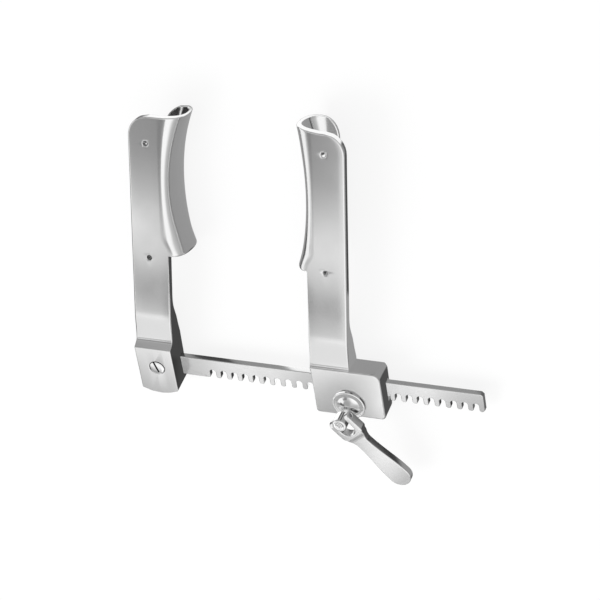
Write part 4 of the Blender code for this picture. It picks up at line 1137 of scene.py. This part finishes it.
def make_panel(name, low, high, place, turn_by, paint):
    """A studio panel that only the steel reflects: paint gives its glow and its cover."""
    bm = bmesh.new()
    corners = (low, (high[0], low[1]), high, (low[0], high[1]))
    bm.faces.new([bm.verts.new((x, y, 0)) for x, y in corners])
    panel = link(name, mesh_from(bm, name))
    panel.location = place
    panel.rotation_euler = turn_by
    made = empty_material(name)
    tree = made.node_tree
    where = add_node(tree, "ShaderNodeTexCoord").outputs["Object"]
    glow, cover = paint(tree, where)
    lit = add_node(tree, "ShaderNodeEmission", links={"Strength": glow})
    clear = add_node(tree, "ShaderNodeBsdfTransparent")
    mix = add_node(tree, "ShaderNodeMixShader", links={0: cover, 1: clear.outputs[0], 2: lit.outputs[0]})
    add_node(tree, "ShaderNodeOutputMaterial", links={"Surface": mix.outputs[0]})
    panel.data.materials.append(made)
    panel.visible_camera = False
    panel.visible_diffuse = False
    panel.visible_shadow = False


def tone_along(tree, where, axis, stops):
    """A brightness that goes from stop to stop along one axis of the panel."""
    first, last = stops[0][0], stops[-1][0]
    value = add_node(tree, "ShaderNodeSeparateXYZ", links={0: where}).outputs[axis]
    share = add_node(
        tree, "ShaderNodeMapRange", {"From Min": first, "From Max": last}, {"Value": value},
    )
    ramp = add_node(tree, "ShaderNodeValToRGB", links={"Fac": share.outputs[0]})
    ramp.color_ramp.interpolation = "CARDINAL"
    while len(ramp.color_ramp.elements) < len(stops):
        ramp.color_ramp.elements.new(0.5)
    # a ramp holds colours up to 1, so the levels are halved in it and doubled after it
    for element, (at, level) in zip(ramp.color_ramp.elements, stops):
        element.position = (at - first) / (last - first)
        element.color = (level / 2, level / 2, level / 2, 1)
    doubled = add_node(tree, "ShaderNodeMath", {1: 2.0}, {0: ramp.outputs["Color"]}, operation="MULTIPLY")
    return doubled.outputs[0]


def add_patches(tree, where, level, patches):
    """Gives patches of a panel, each with corners and softness, a brightness of their own."""
    for low, high, soft, bright in patches:
        patch = box_mask(tree, where, low, high, soft)
        mix = add_node(tree, "ShaderNodeMix", {3: bright}, {0: patch, 2: level}, data_type="FLOAT")
        level = mix.outputs[0]
    return level


# What each panel covers: low corner, high corner and softness of its edges
OVERHEAD_COVER = ((-0.26, -0.165), (-0.060, 0.02), 0.015)
FRONT_COVER = ((-0.40, 0.070), (0.16, 0.18), 0.03)
CARD_COVER = ((-0.22, -0.16), (0.22, 0.16), 0.06)
FLAG_COVER = ((-0.072, 0.0), (0.122, 0.026), 0.006)
# The overhead panel: place along Y and brightness; the flat arms show it as soft bands
OVERHEAD_STOPS = (
    (-0.190, 1.15), (-0.150, 1.14), (-0.136, 0.98), (-0.126, 0.64), (-0.117, 0.30), (-0.108, 0.46),
    (-0.098, 0.88), (-0.084, 1.12), (-0.070, 0.96), (-0.055, 0.64), (-0.038, 0.42), (-0.015, 0.37),
    (0.030, 0.36),
)
# It is a little darker between the two arms' reflections
OVERHEAD_MIDDLE = ((-0.150, -0.30), (-0.102, 0.10), 0.022)
MIDDLE_LEVELS = {"To Min": 1.04, "To Max": 0.78}
# The front panel: height and brightness; block and housing show it brighter at the top
FRONT_STOPS = (
    (0.095, 0.44), (0.108, 0.54), (0.118, 0.70), (0.130, 0.97), (0.142, 1.24), (0.230, 1.26),
)
# Patches of the front panel: low corner, high corner, softness and brightness
FRONT_PATCHES = (
    # the bright middles of the rack's two runs
    ((-0.142, 0.112), (-0.122, 0.142), 0.022, 1.65),
    ((-0.046, 0.112), (-0.028, 0.142), 0.018, 1.65),
    # the housing's darker lower corner
    ((-0.082, 0.112), (-0.064, 0.130), 0.010, 0.50),
    # the lever: dark waist, bright middle, darker end
    ((-0.060, 0.104), (-0.044, 0.112), 0.006, 0.34),
    ((-0.046, 0.094), (-0.026, 0.103), 0.006, 1.25),
    ((-0.030, 0.070), (-0.004, 0.086), 0.006, 0.44),
)
# The floor card's and the black flag's own brightness
CARD_LEVEL = 0.42
FLAG_LEVEL = 0.04
# Patches of the floor card beside the instrument: low corner, high corner and brightness. The card shows
# only in the steel; its dark patches are painted shade, the instrument's own shade on the floor as the
# steel reflects it, and its bright patches are painted light
CARD_PATCH_SOFTNESS = 0.004
CARD_PATCHES = (
    ((-0.104, -0.080), (-0.088, 0.112), 0.05),
    ((-0.104, -0.080), (-0.066, -0.058), 0.05),
    ((-0.068, -0.075), (-0.052, 0.012), 0.08),
    ((-0.060, -0.058), (-0.016, -0.046), 0.05),
    ((0.042, -0.058), (0.088, -0.046), 0.05),
    ((-0.010, -0.082), (0.045, -0.066), 0.05),
    # lights the post's left side
    ((-0.018, -0.058), (-0.002, -0.006), 1.50),
    ((-0.010, -0.002), (0.002, 0.012), 0.05),
    ((0.015, -0.120), (0.055, -0.084), 0.05),
    ((0.023, 0.002), (0.034, 0.088), 0.08),
    ((0.040, -0.075), (0.056, -0.034), 0.10),
    ((0.080, -0.120), (0.150, 0.000), 0.18),
    ((-0.110, 0.094), (0.045, 0.115), 1.35),
)


def paint_overhead(tree, where):
    cover = box_mask(tree, where, *OVERHEAD_COVER)
    level = tone_along(tree, where, 1, OVERHEAD_STOPS)
    middle = box_mask(tree, where, *OVERHEAD_MIDDLE)
    dimmer = add_node(tree, "ShaderNodeMapRange", MIDDLE_LEVELS, {"Value": middle})
    level = add_node(tree, "ShaderNodeMath", links={0: level, 1: dimmer.outputs[0]}, operation="MULTIPLY")
    return level.outputs[0], cover


def paint_front(tree, where):
    cover = box_mask(tree, where, *FRONT_COVER)
    level = tone_along(tree, where, 1, FRONT_STOPS)
    return add_patches(tree, where, level, FRONT_PATCHES), cover


def paint_floor_card(tree, where):
    level = add_node(tree, "ShaderNodeValue").outputs[0]
    level.default_value = CARD_LEVEL
    patches = [(low, high, CARD_PATCH_SOFTNESS, bright) for low, high, bright in CARD_PATCHES]
    level = add_patches(tree, where, level, patches)
    return level, box_mask(tree, where, *CARD_COVER)


def paint_flag(tree, where):
    """A black flag beside an edge, soft at its own edges."""
    level = add_node(tree, "ShaderNodeValue").outputs[0]
    level.default_value = FLAG_LEVEL
    return level, box_mask(tree, where, *FLAG_COVER)


# The panels: name, low and high corner in their own plane, place, turn and paint
LYING = (0, 0, 0)
STANDING = (math.radians(90), 0, 0)
STANDING_ALONG_Y = (math.radians(90), 0, math.radians(90))
PANELS = (
    ("overhead_panel", (-0.30, -0.20), (0.00, 0.06), (0, 0, 0.25), LYING, paint_overhead),
    ("front_panel", (-0.50, 0.0), (0.25, 0.25), (0, -0.30, 0), STANDING, paint_front),
    ("floor_card", (-0.30, -0.24), (0.30, 0.24), (0, 0, -0.0001), LYING, paint_floor_card),
    ("left_flag", (-0.09, 0.0), (0.14, 0.05), (-0.100, 0, 0), STANDING_ALONG_Y, paint_flag),
)

# The room's own light, by height, from floor to ceiling
ROOM_LEVELS = {"From Min": -0.1, "From Max": 0.7, "To Min": 0.46, "To Max": 0.80}
# Softboxes of the studio: direction, where the full level ends and where it has gone, both in
# degrees, and brightness
SOFTBOXES = (
    # the darker back of the room
    ((-0.20, 0.90, 0.30), 30, 75, 0.48),
    # front wall
    ((-0.30, -0.90, 0.40), 28, 62, 1.04),
    # overhead to the right, which draws the bright band down the left blade
    ((0.28, -0.34, 0.90), 10, 40, 1.34),
    # left wall
    ((-0.93, -0.20, 0.28), 22, 44, 1.25),
)


def make_studio():
    """A pale room: light at the front, the left and overhead, darker at the back."""
    world = bpy.data.worlds.new("studio")
    world.use_nodes = True
    bpy.context.scene.world = world
    tree = world.node_tree
    tree.nodes.clear()
    direction = add_node(tree, "ShaderNodeTexCoord").outputs["Generated"]
    height = add_node(tree, "ShaderNodeSeparateXYZ", links={0: direction}).outputs[2]
    level = add_node(tree, "ShaderNodeMapRange", ROOM_LEVELS, {"Value": height}).outputs[0]
    for centre, inner, outer, bright in SOFTBOXES:
        near = add_node(
            tree, "ShaderNodeVectorMath", {1: Vector(centre).normalized()}, {0: direction},
            operation="DOT_PRODUCT",
        )
        share = add_node(
            tree, "ShaderNodeMapRange",
            {"From Min": math.cos(math.radians(outer)), "From Max": math.cos(math.radians(inner))},
            {"Value": near.outputs["Value"]}, interpolation_type="SMOOTHSTEP",
        )
        links = {0: share.outputs[0], 2: level}
        level = add_node(tree, "ShaderNodeMix", {3: bright}, links, data_type="FLOAT").outputs[0]
    back = add_node(tree, "ShaderNodeBackground", {"Color": (1, 1, 1, 1)}, {"Strength": level})
    add_node(tree, "ShaderNodeOutputWorld", links={"Surface": back.outputs[0]})


def make_lamp(name, place, size, power):
    light = bpy.data.lights.new(name, "AREA")
    light.shape = "SQUARE"
    light.size = size
    light.energy = power
    lamp = link(name, light)
    lamp.location = place
    lamp.rotation_euler = (-Vector(place)).to_track_quat("-Z", "Y").to_euler()
    lamp.visible_glossy = False


# Camera, fitted to the photograph: place and directions in the instrument's own frame
CAMERA_PLACE = (0.6551, 1.2076, 1.2422)
CAMERA_RIGHT = (0.9385, -0.1329, -0.3187)
CAMERA_DOWN = (0.1139, -0.7522, 0.6490)
CAMERA_LENS = 227.9


def make_camera():
    right_way = Vector(CAMERA_RIGHT).normalized()
    down_way = Vector(CAMERA_DOWN)
    down_way = (down_way - right_way * down_way.dot(right_way)).normalized()
    forward = right_way.cross(down_way)
    camera_data = bpy.data.cameras.new("camera")
    camera_data.sensor_width = 36.0
    camera_data.lens = CAMERA_LENS
    camera_data.clip_end = 20.0
    camera = link("camera", camera_data)
    axes = Matrix((right_way, -down_way, -forward)).transposed().to_4x4()
    camera.matrix_world = PLACE @ Matrix.Translation(CAMERA_PLACE) @ axes
    bpy.context.scene.camera = camera


make_floor()
for panel in PANELS:
    make_panel(*panel)
make_studio()
make_lamp("key_light", place=(-0.8, -0.7, 1.3), size=0.9, power=14.0)
make_camera()
bpy.context.scene.view_settings.view_transform = "Standard"

bpy.context.view_layer.update()
